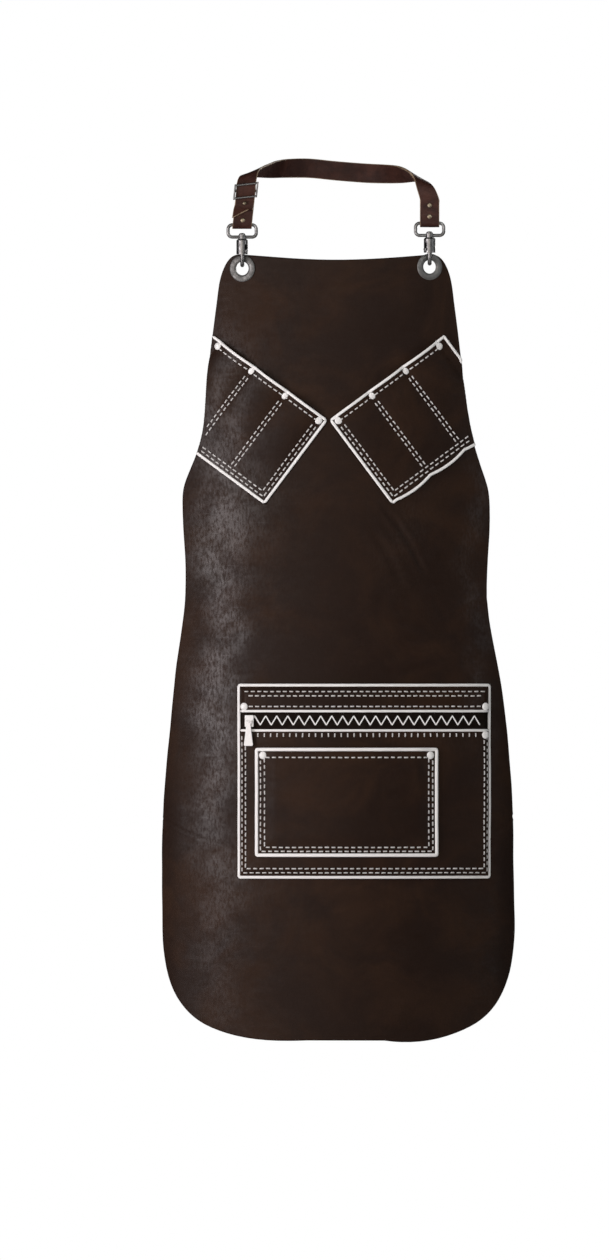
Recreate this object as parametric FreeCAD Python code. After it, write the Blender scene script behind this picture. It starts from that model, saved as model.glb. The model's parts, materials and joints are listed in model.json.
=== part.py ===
import FreeCAD, Part
import math
import os

# Leather bib apron hanging from a neck strap by two swivel bolt snap hooks.
# +Z is up, the wearer faces -Y, and the origin is the middle of the strap
# behind the neck, where the apron is held up. All sizes are millimetres.

os.makedirs("parts", exist_ok=True)
Vec = FreeCAD.Vector
UP = Vec(0, 0, 1)

# ---- apron panel ----
R1 = 300.0            # bend of the panel over the wearer's front
R2 = 75.0             # tighter bend of the side edges
X_BEND = 160.0        # half width over which the wide bend runs
A_END = 66.0          # angle at which the bent sheet would end
LEATHER = 1.6         # panel leather
Y_HOOK = -105.0       # depth at which strap folds, hooks and eyelets line up
EYE_X = 96.5          # half the distance between the two eyelets
LEFT_EYE_Z = -101.9
RIGHT_EYE_Z = -100.2
HOLE_R = 7.0          # clear hole of an eyelet
FLANGE_R = 13.6
Z_TOP = 10.0
Z_BOTTOM = -910.0

TOP_EDGE = [(-97, -87.9), (-68, -90.1), (-37, -92.3), (10, -93.3), (56, -91.2), (97, -87.9)]
LEFT_EDGE = [
    (-97, -87.9), (-106.5, -89.6), (-115.4, -101.5), (-122.6, -134.4), (-130, -196),
    (-137, -268), (-142.1, -289), (-150.4, -309.5), (-157.4, -330), (-158.4, -345),
    (-155.5, -402), (-156, -443), (-163.8, -505), (-172, -587.6), (-178.6, -670),
    (-179.2, -752), (-176.1, -814), (-161.7, -855.4), (-142.1, -876), (-121.5, -886.3),
    (-88.6, -894.6), (-30, -896.6),
]
RIGHT_EDGE = [
    (97, -87.9), (106.5, -90.2), (114.6, -101.5), (121.5, -134.4), (129, -196),
    (138.5, -268), (144.2, -289), (150.6, -309.5), (156.8, -330), (158.4, -345),
    (156.3, -402), (155.6, -443), (165.8, -505), (177.2, -587.6), (182.3, -670),
    (184.2, -752), (182.3, -814), (167.9, -855.4), (149.4, -876), (130.8, -886.3),
    (106.1, -894.6), (50, -896.8),
]

# ---- pockets ----
REST = 0.1            # one layer lies this far above the layer it is sewn to
CHEST_GAP = 6.2       # room for a tool in a chest slot
CHEST_SHEET = 1.4
CHEST_MOUTH = 142.4   # length of a chest pocket's mouth
CHEST_DEPTH = 108.6
CHEST_SLOTS = 3
SLOT_PITCH = 43.0
FIRST_SEAM = 6.4      # first seam from the upper corner, along the mouth
SEAM_WALL = 5.0       # width over which a seam holds the pocket down
SCALLOP = 2.6         # bulge of each bottom curve of the right chest pocket
LAP = (-100.4, -730.0, 158.0, -530.0)
LAP_GAP = 8.0
LAP_SHEET = 1.6
LAP_WALL = 8.0
ZIP_TOP = -559.0
ZIP_LOW = -576.5
PATCH = (-80.4, -707.5, 101.5, -595.9)
PATCH_GAP = 5.4
PATCH_SHEET = 1.4
PATCH_WALL = 6.5
PIPE_W = 3.0
ZIP_PIPE_W = 2.0
PIPE_T = 1.1

# ---- zip ----
TAPE_T = 0.7
ZIG_PITCH = 11.0
ZIG_TOP = -563.0
ZIG_LOW = -573.0
ZIG_W = 1.5
SLIDER_X = -89.0
SLIDER_Z = -568.0

# ---- strap and hooks ----
STRAP_W = 20.0
STRAP_T = 2.2
LEFT_BAR_Z = -57.0    # the bar of each swivel eye that its strap folds round
RIGHT_BAR_Z = -55.3
BAR_R = 1.7
BAR_GAP = 0.3
EYE_HALF = 14.5       # half length of the eye, to the middle of its wire
EYE_DROP = 12.6       # between its two bars
EYE_CORNER = 4.3      # bend of its corners
HOOK_R = 2.1          # thickness of the hook's bow
BOW_R = 7.25          # bend of the bow, to the middle of its wire
BOW_DROP = 41.5       # from the strap bar down to the bow
BARREL_R = 6.0
BARREL_TOP = 14.7     # drops below the strap bar: barrel ends and bow tip
BARREL_LOW = 30.4
BOLT_R = 2.3
FIT = 0.05
TIP_DROP = 35.8
TRAVEL = 5.4          # how far the bolt draws back into the barrel
BORE_TOP = 17.4       # drops below the strap bar: top of the bore, knob, bolt top
KNOB_DROP = 27.0
BOLT_TOP = 25.6
BOSS_R = 4.2          # boss of the swivel eye round the rivet's stem
BOSS_HALF = 1.9
STEM_R = 2.0
SHOULDER_W = 8.4
SHOULDER_T = 5.6

EYE_DEPTH = R1 - math.sqrt(R1 ** 2 - EYE_X ** 2)
Y_FRONT = Y_HOOK - EYE_DEPTH - LEATHER / 2.0
YC = Y_FRONT + R1     # depth of the axis that the panel is bent round


def save(shape, node):
    shape.exportStep("parts/" + node + ".step")


def wire_of(points):
    return Part.makePolygon([Vec(*p) for p in points] + [Vec(*points[0])])


def prism(points):
    """A front-view polygon carried through the whole depth of the apron."""
    y0 = Y_FRONT - 40.0
    face = Part.Face(wire_of([(x, y0, z) for x, z in points]))
    return face.extrude(Vec(0, 170, 0))


def box_of(rect, inset=0.0):
    x0, z0, x1, z1 = rect
    x0, z0, x1, z1 = x0 + inset, z0 + inset, x1 - inset, z1 - inset
    return prism([(x0, z0), (x1, z0), (x1, z1), (x0, z1)])


def plan_point(angle, offset, side):
    """A point of the bent sheet's plan, at an angle from straight ahead."""
    bend = math.asin(X_BEND / R1)
    if angle <= bend:
        r = R1 + offset
        return Vec(side * r * math.sin(angle), YC - r * math.cos(angle), Z_BOTTOM)
    r = R2 + offset
    cx = (R1 - R2) * math.sin(bend)
    cy = YC - (R1 - R2) * math.cos(bend)
    return Vec(side * (cx + r * math.sin(angle)), cy - r * math.cos(angle), Z_BOTTOM)


def plan_edges(offset):
    bend = math.asin(X_BEND / R1)
    end = math.radians(A_END)
    half = (bend + end) / 2.0
    left = [plan_point(a, offset, -1) for a in (end, half, bend)]
    right = [plan_point(a, offset, 1) for a in (bend, half, end)]
    front = plan_point(0.0, offset, 1)
    return [
        Part.Arc(*left).toShape(),
        Part.Arc(left[2], front, right[0]).toShape(),
        Part.Arc(*right).toShape(),
    ]


def skin(low, high):
    """The solid between two offsets from the panel's front face."""
    inner = plan_edges(low)
    outer = plan_edges(high)
    ends = [
        Part.makeLine(inner[0].Vertexes[0].Point, outer[0].Vertexes[0].Point),
        Part.makeLine(inner[2].Vertexes[-1].Point, outer[2].Vertexes[-1].Point),
    ]
    edges = Part.__sortEdges__(inner + outer + ends)
    return Part.Face(Part.Wire(edges)).extrude(Vec(0, 0, Z_TOP - Z_BOTTOM))


def spline(points):
    curve = Part.BSplineCurve()
    curve.interpolate([Vec(x, Y_FRONT - 40.0, z) for x, z in points])
    return curve.toShape()


def outline_prism():
    hem = Part.makeLine(
        Vec(LEFT_EDGE[-1][0], Y_FRONT - 40.0, LEFT_EDGE[-1][1]),
        Vec(RIGHT_EDGE[-1][0], Y_FRONT - 40.0, RIGHT_EDGE[-1][1]),
    )
    edges = [spline(TOP_EDGE), spline(LEFT_EDGE), spline(RIGHT_EDGE), hem]
    return Part.Face(Part.Wire(Part.__sortEdges__(edges))).extrude(Vec(0, 170, 0))


def on_skin(x, z, offset):
    """A point of the bent sheet in front of (x, z), and the way it faces."""
    a = math.asin(x / (R1 + offset))
    out = Vec(math.sin(a), -math.cos(a), 0)
    return Vec(0, YC, z) + out * (R1 + offset), out


def spin(profile, base, axis):
    """Turn a (radius, height) profile round an axis through base."""
    face = Part.Face(wire_of([(r, 0, h) for r, h in profile]))
    body = face.revolve(Vec(0, 0, 0), UP, 360)
    body.Placement = FreeCAD.Placement(base, FreeCAD.Rotation(UP, axis))
    return body


def rod(start, end, radius):
    return Part.makeCylinder(radius, (end - start).Length, start, end - start)


OUTLINE = outline_prism()

# ---- eyelets ----
EYES = {"left": (-EYE_X, LEFT_EYE_Z), "right": (EYE_X, RIGHT_EYE_Z)}
panel = OUTLINE.common(skin(-LEATHER, 0.0))
for side, (x, z) in EYES.items():
    centre, out = on_skin(x, z, 0.0)
    panel = panel.cut(rod(centre - out * 6, centre + out * 6, HOLE_R + 0.95))
    front = [
        (HOLE_R, -0.9), (HOLE_R + 0.45, -2.6), (HOLE_R + 0.8, -2.6), (HOLE_R + 0.8, 0.05),
        (FLANGE_R, 0.05), (FLANGE_R, 0.5), (12.6, 1.1), (10.6, 1.5), (8.6, 1.3), (HOLE_R, 0.4),
    ]
    save(spin(front, centre, out), side + "_eyelet")
    back = [
        (HOLE_R + 0.9, -2.0), (12.4, -2.0), (12.4, -2.3), (11.0, -2.6), (HOLE_R + 0.9, -2.6),
    ]
    save(spin(back, centre, out), side + "_eyelet_washer")
save(panel, "apron_panel")


# ---- chest pockets ----
class Slant:
    """A chest pocket's own axes: u along its mouth from the side, v down it."""

    def __init__(self, corner, side):
        along = Vec(-side * 114.2, 0, -85.0).normalize()
        self.corner = Vec(corner[0], 0, corner[1])
        self.u = along
        self.v = Vec(side * 85.0, 0, -114.2).normalize()

    def at(self, u, v):
        p = self.corner + self.u * u + self.v * v
        return p.x, p.z


LEFT_CHEST = Slant((-122.4, -173.0), -1)
RIGHT_CHEST = Slant((107.0, -173.0), 1)
CHEST_OUT = REST + CHEST_GAP + CHEST_SHEET
PIPE_LOW = 0.08       # the piping lies this far above its pocket


def rect_uv(frame, u0, v0, u1, v1):
    return prism([frame.at(u0, v0), frame.at(u1, v0), frame.at(u1, v1), frame.at(u0, v1)])


def chest_shape(frame, scallops, inset=0.0):
    """The pocket's outline, straight or scalloped along the bottom."""
    low = CHEST_DEPTH - inset
    far = CHEST_MOUTH - inset
    shape = rect_uv(frame, -6.0, inset, far, low)
    if not scallops:
        return shape
    seams = [FIRST_SEAM + i * SLOT_PITCH for i in range(CHEST_SLOTS + 1)]
    seams[0] = -6.0
    seams[-1] = CHEST_MOUTH
    for a, b in zip(seams, seams[1:]):
        half = (b - a) / 2.0
        r = (half ** 2 + SCALLOP ** 2) / (2.0 * SCALLOP)
        x, z = frame.at((a + b) / 2.0, low + SCALLOP - r)
        disc = Part.makeCylinder(r - inset, 170, Vec(x, Y_FRONT - 40.0, z), Vec(0, 1, 0))
        strip = rect_uv(frame, a, low - 4.0, min(b, far), low + SCALLOP + 1.0)
        shape = shape.fuse(strip.common(disc))
    return shape.removeSplitter()


def chest_pocket(side, frame, scallops):
    seams = [FIRST_SEAM + i * SLOT_PITCH for i in range(CHEST_SLOTS + 1)]
    body = chest_shape(frame, scallops).common(OUTLINE).common(skin(REST, CHEST_OUT))
    inside = skin(-1.0, REST + CHEST_GAP)
    for a, b in zip(seams, seams[1:]):
        slot = rect_uv(
            frame, a + SEAM_WALL / 2, -5.0, b - SEAM_WALL / 2, CHEST_DEPTH - SEAM_WALL
        )
        body = body.cut(slot.common(inside))
    rim = chest_shape(frame, scallops).cut(chest_shape(frame, scallops, PIPE_W))
    rim = rim.common(OUTLINE)
    rim = rim.common(skin(CHEST_OUT + PIPE_LOW, CHEST_OUT + PIPE_LOW + PIPE_T))
    save(rim, side + "_chest_piping")
    return body


# ---- rivets: a low cap with a short shank through the sheet under it ----
CAP_R = 4.0
SHANK_R = 1.5
CAP = [
    (0, -1.2), (SHANK_R, -1.2), (SHANK_R, 0.05), (CAP_R, 0.05), (CAP_R, 0.7),
    (3.2, 1.5), (2.0, 1.9), (0, 2.05),
]


def rivet(x, z, offset):
    base, out = on_skin(x, z, offset)
    return spin(CAP, base, out)


def drill(body, x, z, offset):
    base, out = on_skin(x, z, offset)
    return body.cut(rod(base - out * 1.3, base + out * 3, SHANK_R + 0.1))


rivets = []
for side, frame, scallops in (("left", LEFT_CHEST, False), ("right", RIGHT_CHEST, True)):
    pocket = chest_pocket(side, frame, scallops)
    for i in range(CHEST_SLOTS + 1):
        x, z = frame.at(FIRST_SEAM + 1.0 + i * (SLOT_PITCH - 0.7), 8.0)
        rivets.append(rivet(x, z, CHEST_OUT))
        pocket = drill(pocket, x, z, CHEST_OUT)
    save(pocket, side + "_chest_pocket")

# ---- lap pocket: a top strip, a zip window and a front with a patch pocket ----
LAP_OUT = REST + LAP_GAP + LAP_SHEET
x0, z0, x1, z1 = LAP
strip = box_of((x0, ZIP_TOP, x1, z1)).common(skin(REST, LAP_OUT))
front = box_of((x0, z0, x1, ZIP_LOW)).common(skin(REST, LAP_OUT))
hollow = box_of((x0 + LAP_WALL, z0 + LAP_WALL, x1 - LAP_WALL, z1 - LAP_WALL))
hollow = hollow.common(skin(-1.0, REST + LAP_GAP))
strip = strip.cut(hollow)
front = front.cut(hollow)
patch_out = LAP_OUT + REST + PATCH_GAP + PATCH_SHEET
px0, pz0, px1, pz1 = PATCH
patch = box_of(PATCH).common(skin(LAP_OUT + REST, patch_out))
pouch = box_of((px0 + PATCH_WALL, pz0 + PATCH_WALL, px1 - PATCH_WALL, pz1 + 5.0))
patch = patch.cut(pouch.common(skin(LAP_OUT - 1.0, LAP_OUT + REST + PATCH_GAP)))
RIVET_IN = 8.6        # rivets of the lap pocket, in from its sides
STRIP_RIVET_Z = -552.8
FRONT_RIVET_Z = -582.7
PATCH_RIVET_IN = 7.6
for x in (x0 + RIVET_IN, x1 - RIVET_IN):
    rivets.append(rivet(x, STRIP_RIVET_Z, LAP_OUT))
    strip = drill(strip, x, STRIP_RIVET_Z, LAP_OUT)
rivets.append(rivet(x1 - RIVET_IN, FRONT_RIVET_Z, LAP_OUT))
front = drill(front, x1 - RIVET_IN, FRONT_RIVET_Z, LAP_OUT)
for x in (px0 + PATCH_RIVET_IN, px1 - PATCH_RIVET_IN):
    rivets.append(rivet(x, pz1 - PATCH_RIVET_IN, patch_out))
    patch = drill(patch, x, pz1 - PATCH_RIVET_IN, patch_out)
save(Part.makeCompound(rivets), "pocket_rivets")
save(strip, "lap_pocket_top_strip")
save(front, "lap_pocket_front")
save(patch, "patch_pocket")

# ---- white piping of the lap and patch pockets ----
pipe = skin(LAP_OUT + PIPE_LOW, LAP_OUT + PIPE_LOW + PIPE_T)
frame = box_of(LAP).cut(box_of(LAP, PIPE_W)).common(pipe)
save(frame, "lap_pocket_piping")
lines = []
for z in (ZIP_TOP, ZIP_LOW - ZIP_PIPE_W):
    bar = box_of((x0 + PIPE_W + 0.1, z, x1 - PIPE_W - 0.1, z + ZIP_PIPE_W))
    lines.append(bar.common(pipe))
save(Part.makeCompound(lines), "zip_edge_piping")
rim = box_of(PATCH).cut(box_of(PATCH, PIPE_W))
rim = rim.common(skin(patch_out + PIPE_LOW, patch_out + PIPE_LOW + PIPE_T))
save(rim, "patch_pocket_piping")

# ---- zip: two tapes, zigzag coil, slider and pull ----
TAPE_TOP = REST + LAP_GAP - 0.1
middle = (ZIG_TOP + ZIG_LOW) / 2.0
tape_skin = skin(TAPE_TOP - TAPE_T, TAPE_TOP)
side_gap = LAP_WALL + 0.4
upper = box_of((x0 + side_gap, middle + 0.1, x1 - side_gap, ZIP_TOP + 5.0)).common(tape_skin)
lower = box_of((x0 + side_gap, ZIP_LOW - 5.0, x1 - side_gap, middle - 0.1)).common(tape_skin)
save(upper, "zip_tape_upper")
save(lower, "zip_tape_lower")
count = int((x1 - x0 - 2 * side_gap) / ZIG_PITCH)
start = (x0 + x1 - count * ZIG_PITCH) / 2.0
ridge = []
for i in range(2 * count + 1):
    ridge.append((start + i * ZIG_PITCH / 2.0, ZIG_LOW if i % 2 == 0 else ZIG_TOP))
upper_line = [(x, z + ZIG_W) for x, z in ridge]
lower_line = [(x, z) for x, z in reversed(ridge)]
zig = prism(upper_line + lower_line)
COIL_TOP = TAPE_TOP + 1.5
save(zig.common(skin(TAPE_TOP + 0.05, COIL_TOP)), "zip_coil")

slide_low = COIL_TOP + 0.35
base, out = on_skin(SLIDER_X, SLIDER_Z, slide_low)
across = UP.cross(out) * -1.0


def local_box(u0, u1, n0, n1, w0, w1):
    """A block on the slider: u along the zip, n out of it, w up."""
    block = Part.makeBox(u1 - u0, w1 - w0, n1 - n0, Vec(u0, w0, n0))
    turn = FreeCAD.Matrix(
        across.x, 0, out.x, base.x, across.y, 0, out.y, base.y,
        0, 1, 0, base.z, 0, 0, 0, 1
    )
    return block.transformGeometry(turn)


PULL_N = 3.7          # the pull's pin stands this far out of the slider's sole
PULL_W = -1.0
PIN_R = 0.7
KNUCKLE_R = 1.35
SOLE_HALF_U = 4.7
SOLE_HALF_W = 6.0
SOLE_T = 2.2
CHEEK_T = 1.1
slider = local_box(-SOLE_HALF_U, SOLE_HALF_U, 0.0, SOLE_T, -SOLE_HALF_W, SOLE_HALF_W)
slider = slider.makeFillet(0.7, slider.Edges)
for u in (-3.4, 2.3):
    slider = slider.fuse(local_box(u, u + CHEEK_T, 1.0, PULL_N + 0.9, -2.6, 0.6))
pin_mid = base + out * PULL_N + UP * PULL_W
slider = slider.fuse(rod(pin_mid - across * 3.0, pin_mid + across * 3.0, PIN_R))
save(slider, "zip_slider")
tab_n = PULL_N - 0.7
tab = [
    (-2.0, -0.9), (2.0, -0.9), (3.0, -10.0), (4.8, -23.6),
    (4.0, -24.6), (-4.0, -24.6), (-4.8, -23.6), (-3.0, -10.0),
]
tab_base = base + out * tab_n + UP * PULL_W
face = Part.Face(wire_of([tuple(tab_base + across * u + UP * w) for u, w in tab]))
pull = face.extrude(out * 1.5)
pull = pull.fuse(rod(pin_mid - across * 2.0, pin_mid + across * 2.0, KNUCKLE_R))
pull = pull.cut(rod(pin_mid - across * 4.0, pin_mid + across * 4.0, PIN_R + FIT))
save(pull, "zip_pull")


# ---- swivel snap hooks ----
def ring_path(x, y, z):
    """The middle line of a swivel eye, with its upper bar at height z."""
    r = EYE_CORNER
    a = EYE_HALF - r
    low = z - EYE_DROP
    nip = r * (1 - math.sqrt(0.5))
    edges = []
    for s in (1, -1):
        end_x = x + s * EYE_HALF
        nip_x = x + s * (EYE_HALF - nip)
        up = Vec(x + s * a, y, z), Vec(nip_x, y, z - nip), Vec(end_x, y, z - r)
        down = Vec(end_x, y, low + r), Vec(nip_x, y, low + nip), Vec(x + s * a, y, low)
        edges.append(Part.Arc(*up).toShape())
        edges.append(Part.makeLine(up[2], down[0]))
        edges.append(Part.Arc(*down).toShape())
    edges.append(Part.makeLine(Vec(x - a, y, z), Vec(x + a, y, z)))
    edges.append(Part.makeLine(Vec(x + a, y, low), Vec(x - a, y, low)))
    return Part.Wire(Part.__sortEdges__(edges))


def tube(path, start, direction, radius):
    ring = Part.Wire([Part.makeCircle(radius, start, direction)])
    return path.makePipeShell([ring], True, True)


def snap(side, x, bar_z, slot_side, slot_angle):
    """One snap hook: swivel eye, rivet, hook with its bore, bolt and spring."""
    y = Y_HOOK
    path = ring_path(x, y, bar_z)
    first = path.OrderedEdges[0]
    way = first.tangentAt(first.FirstParameter)
    oval = tube(path, first.valueAt(first.FirstParameter), way, BAR_R)
    low = bar_z - EYE_DROP
    boss = Part.makeCylinder(BOSS_R, 2 * BOSS_HALF, Vec(x, y, low - BOSS_HALF))
    eye = oval.fuse(boss).cut(Part.makeCylinder(STEM_R + FIT, 8, Vec(x, y, low - 4)))
    save(eye, side + "_swivel_eye")

    top = bar_z - BARREL_TOP
    rise = low + BOSS_HALF - top
    head = [
        (0, -4.0), (STEM_R, -4.0), (STEM_R, rise + 0.1), (3.5, rise + 0.1),
        (3.4, rise + 1.2), (2.2, rise + 2.1), (0, rise + 2.4),
    ]
    save(spin(head, Vec(x, y, top), UP), side + "_swivel_rivet")

    yb = y - BOW_R
    barrel = Part.makeCylinder(BARREL_R, BARREL_LOW - BARREL_TOP - 1.5, Vec(x, yb, bar_z - BARREL_LOW))
    dome = Part.makeCone(BARREL_R, BARREL_R - 1.5, 1.5, Vec(x, yb, top - 1.5))
    reach = BOW_R + HOOK_R
    corner = Vec(x - SHOULDER_W / 2, y - reach, top - SHOULDER_T)
    shoulder = Part.makeBox(SHOULDER_W, 2 * reach, SHOULDER_T, corner)
    long_edges = [e for e in shoulder.Edges if abs(e.Vertexes[0].X - e.Vertexes[1].X) > 1]
    shoulder = shoulder.makeFillet(2.0, long_edges)
    bend_z = bar_z - BOW_DROP + BOW_R
    a0 = Vec(x, y + BOW_R, top - 4.0)
    a1 = Vec(x, y + BOW_R, bend_z)
    cut_z = bar_z - TIP_DROP - 0.08
    phi = math.asin((bend_z - cut_z) / BOW_R)
    tip = Vec(x, y - BOW_R * math.cos(phi), cut_z)
    bottom = Vec(x, y, bar_z - BOW_DROP)
    bow = Part.Wire([Part.makeLine(a0, a1), Part.Arc(a1, bottom, tip).toShape()])
    bow = tube(bow, a0, Vec(0, 0, -1), HOOK_R)
    hook = barrel.fuse([dome, shoulder, bow])
    mouth = Part.makeBox(16, 4 * BOW_R, 1.4, Vec(x - 8, y - 4 * BOW_R + 2.0, cut_z))
    hook = hook.cut(mouth)
    hook = hook.cut(Part.makeCylinder(STEM_R + FIT, 4.4, Vec(x, y, top - 4.2)))
    bore_top = bar_z - BORE_TOP
    bore_low = bar_z - BARREL_LOW - 1
    hook = hook.cut(Part.makeCylinder(BOLT_R + FIT, bore_top - bore_low, Vec(x, yb, bore_low)))
    knob_z = bar_z - KNOB_DROP
    ang = math.radians(slot_angle)
    way = Vec(slot_side * math.sin(ang), -math.cos(ang), 0)
    slot = Part.makeBox(9, 2.6, TRAVEL + 2.8, Vec(0, -1.3, 0))
    slot.Placement = FreeCAD.Placement(Vec(x, yb, knob_z - 1.4), FreeCAD.Rotation(Vec(1, 0, 0), way))
    hook = hook.cut(slot)
    save(hook.removeSplitter(), side + "_hook")

    bolt_low = bar_z - TIP_DROP
    bolt_top = bar_z - BOLT_TOP
    mid = Vec(x, yb, knob_z)
    bolt = Part.makeCylinder(BOLT_R, bolt_top - bolt_low, Vec(x, yb, bolt_low))
    bolt = bolt.fuse(rod(mid, mid + way * 6.6, 1.1))
    knob = Part.makeCylinder(1.9, 1.6, mid + way * 6.3, way)
    knob = knob.makeFillet(0.6, [knob.Edges[0]])
    save(bolt.fuse(knob), side + "_bolt")

    length = bore_top - bolt_top - 0.7
    turns = 6
    coil_r = BOLT_R - 0.45
    helix = Part.makeHelix(length / turns, length, coil_r)
    coil = tube(Part.Wire(helix), Vec(coil_r, 0, 0), Vec(0, 1, 0), 0.25)
    coil.translate(Vec(x, yb, bolt_top + 0.35))
    save(coil, side + "_bolt_spring")


snap("left", -EYE_X, LEFT_BAR_Z, 1, 36)
snap("right", EYE_X, RIGHT_BAR_Z, -1, 42)


# ---- strap ends folded round the bars of the swivel eyes ----
def half_ring(y, z, r):
    return Part.Arc(Vec(0, y - r, z), Vec(0, y, z - r), Vec(0, y + r, z)).toShape()


def fold(x, bar_z, top_z, pinch):
    """A doubled strap end hanging on a bar, extruded across the strap."""
    r_in = BAR_R + BAR_GAP
    r_out = r_in + STRAP_T
    y = Y_HOOK
    meet = bar_z + pinch
    outer = [
        half_ring(y, bar_z, r_out),
        Part.makeLine(Vec(0, y + r_out, bar_z), Vec(0, y + STRAP_T, meet)),
        Part.makeLine(Vec(0, y + STRAP_T, meet), Vec(0, y + STRAP_T, top_z)),
        Part.makeLine(Vec(0, y + STRAP_T, top_z), Vec(0, y - STRAP_T, top_z)),
        Part.makeLine(Vec(0, y - STRAP_T, top_z), Vec(0, y - STRAP_T, meet)),
        Part.makeLine(Vec(0, y - STRAP_T, meet), Vec(0, y - r_out, bar_z)),
    ]
    inner = [
        half_ring(y, bar_z, r_in),
        Part.makeLine(Vec(0, y + r_in, bar_z), Vec(0, y, meet - 1)),
        Part.makeLine(Vec(0, y, meet - 1), Vec(0, y - r_in, bar_z)),
    ]
    solid = Part.Face(Part.Wire(outer)).cut(Part.Face(Part.Wire(inner)))
    solid = solid.extrude(Vec(STRAP_W, 0, 0))
    solid.translate(Vec(x - STRAP_W / 2.0, 0, 0))
    return solid


# ---- left strap end: short doubled strap, slide buckle, tail and stud ----
LEAN = 0.105          # the left strap end leans in towards the neck


def lean_x(z):
    return -EYE_X + LEAN * (z - LEFT_BAR_Z)


def leaning(shape):
    """Slide every level of a shape sideways so that it follows the lean."""
    turn = FreeCAD.Matrix(
        1, 0, LEAN, -LEAN * LEFT_BAR_Z, 0, 1, 0, 0,
        0, 0, 1, 0, 0, 0, 0, 1
    )
    return shape.transformGeometry(turn)


SLIDE_Z = -22.0       # middle bar of the slide buckle
mid_z = (LEFT_BAR_Z + SLIDE_Z) / 2.0
short = fold(-EYE_X, LEFT_BAR_Z, mid_z, 10.0)
upper_half = fold(-EYE_X, 2 * mid_z - SLIDE_Z, mid_z, 10.0)
upper_half = upper_half.mirror(Vec(0, 0, mid_z), UP)
short = short.fuse(upper_half).removeSplitter()
LEFT_RIVET_Z = -52.4
RIGHT_RIVETS_Z = (-36.9, -48.5)
RIVET_R = 1.5


def strap_rivet(x, z, y_front, y_back):
    """A brass rivet: a low round head in front, a washer behind."""
    y0 = Vec(x, y_front, z)
    shank = rod(y0, Vec(x, y_back, z), RIVET_R)
    head = Part.makeCone(3.3, 2.0, 1.1, Vec(x, y_front - 0.05, z), Vec(0, -1, 0))
    foot = Part.makeCylinder(3.3, 0.9, Vec(x, y_back + 0.05, z), Vec(0, 1, 0))
    stem = rod(Vec(x, y_front - 0.5, z), Vec(x, y_back + 0.5, z), RIVET_R)
    return shank.fuse([head, foot, stem]).removeSplitter()


low_x = lean_x(LEFT_RIVET_Z)
drill_from = Vec(low_x, Y_HOOK - 9, LEFT_RIVET_Z)
drill_to = Vec(low_x, Y_HOOK + 9, LEFT_RIVET_Z)
hole = rod(drill_from, drill_to, RIVET_R + 0.1)
short = leaning(short).cut(hole)
save(short, "short_strap")

LEG_X = 11.4          # side legs of the buckle, out from its middle
LEG_W = 1.8
LEG_H = 16.0
TILT = 1.3            # the front of the buckle sits askew by this much a side
FRONT_BAR_R = 1.1
legs = []
for sx in (-1, 1):
    corner = Vec(-EYE_X + sx * LEG_X - LEG_W / 2, Y_HOOK - 9.0, SLIDE_Z - LEG_H / 2 + sx * TILT)
    legs.append(Part.makeBox(LEG_W, 10.6, LEG_H, corner))
slide = legs[0].fuse(legs[1])
slide = slide.makeFillet(0.6, slide.Edges)
for dy, dz, tilt, r in (
    (0.0, 0.0, 0.0, 1.5),
    (-7.7, 6.7, TILT, FRONT_BAR_R),
    (-7.7, -6.7, TILT, FRONT_BAR_R),
):
    a = Vec(-EYE_X - LEG_X, Y_HOOK + dy, SLIDE_Z + dz - tilt)
    b = Vec(-EYE_X + LEG_X, Y_HOOK + dy, SLIDE_Z + dz + tilt)
    slide = slide.fuse(rod(a, b, r))
save(leaning(slide), "slide_buckle")

# ---- the long strap: middle of the strap, the way its width lies, the way
# its outer face looks, from the tail over the left shoulder, round the neck
# and down to the right swivel eye
HT = STRAP_T / 2.0
RIGHT_X = EYE_X
RIGHT_TOP = -31.0
LEFT_RUN = [
    ((lean_x(-48.0), Y_HOOK - 3.7, -48.0), (1, 0, 0), (0, -1, 0)),
    ((lean_x(-36.0), Y_HOOK - 3.7, -36.0), (1, 0, 0), (0, -1, 0)),
    ((lean_x(-29.5), Y_HOOK - 4.3, -29.5), (1, 0, 0), (0, -1, 0)),
    ((lean_x(-22.0), Y_HOOK - 5.7, -22.0), (1, 0, 0), (0, -1, 0)),
    ((-92.2, Y_HOOK - 4.4, -14.0), (1, 0, 0.03), (0, -1, 0.1)),
    ((-89.6, Y_HOOK + 1.5, -5.2), (1, 0.05, 0.25), (-0.1, -0.7, 0.7)),
    ((-84.0, Y_HOOK + 18.0, -1.8), (1, 0.2, 0.50), (-0.5, 0, 1)),
    ((-75.0, Y_HOOK + 42.0, -0.4), (0.8, 0.3, 0.8), (-0.8, 0.2, 0.8)),
    ((-63.0, Y_HOOK + 70.0, 1.2), (0.4, 0.25, 1.0), (-1, 0.5, 0.5)),
    ((-50.0, Y_HOOK + 90.0, 2.4), (0.15, 0.15, 1.0), (-0.9, 1, 0.2)),
    ((-27.0, -2.6, 2.6), (0, 0.05, 1.0), (-0.35, 1, 0)),
]
BACK = [((0, 0, 0), (0, 0, 1), (0, 1, 0))]
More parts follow.
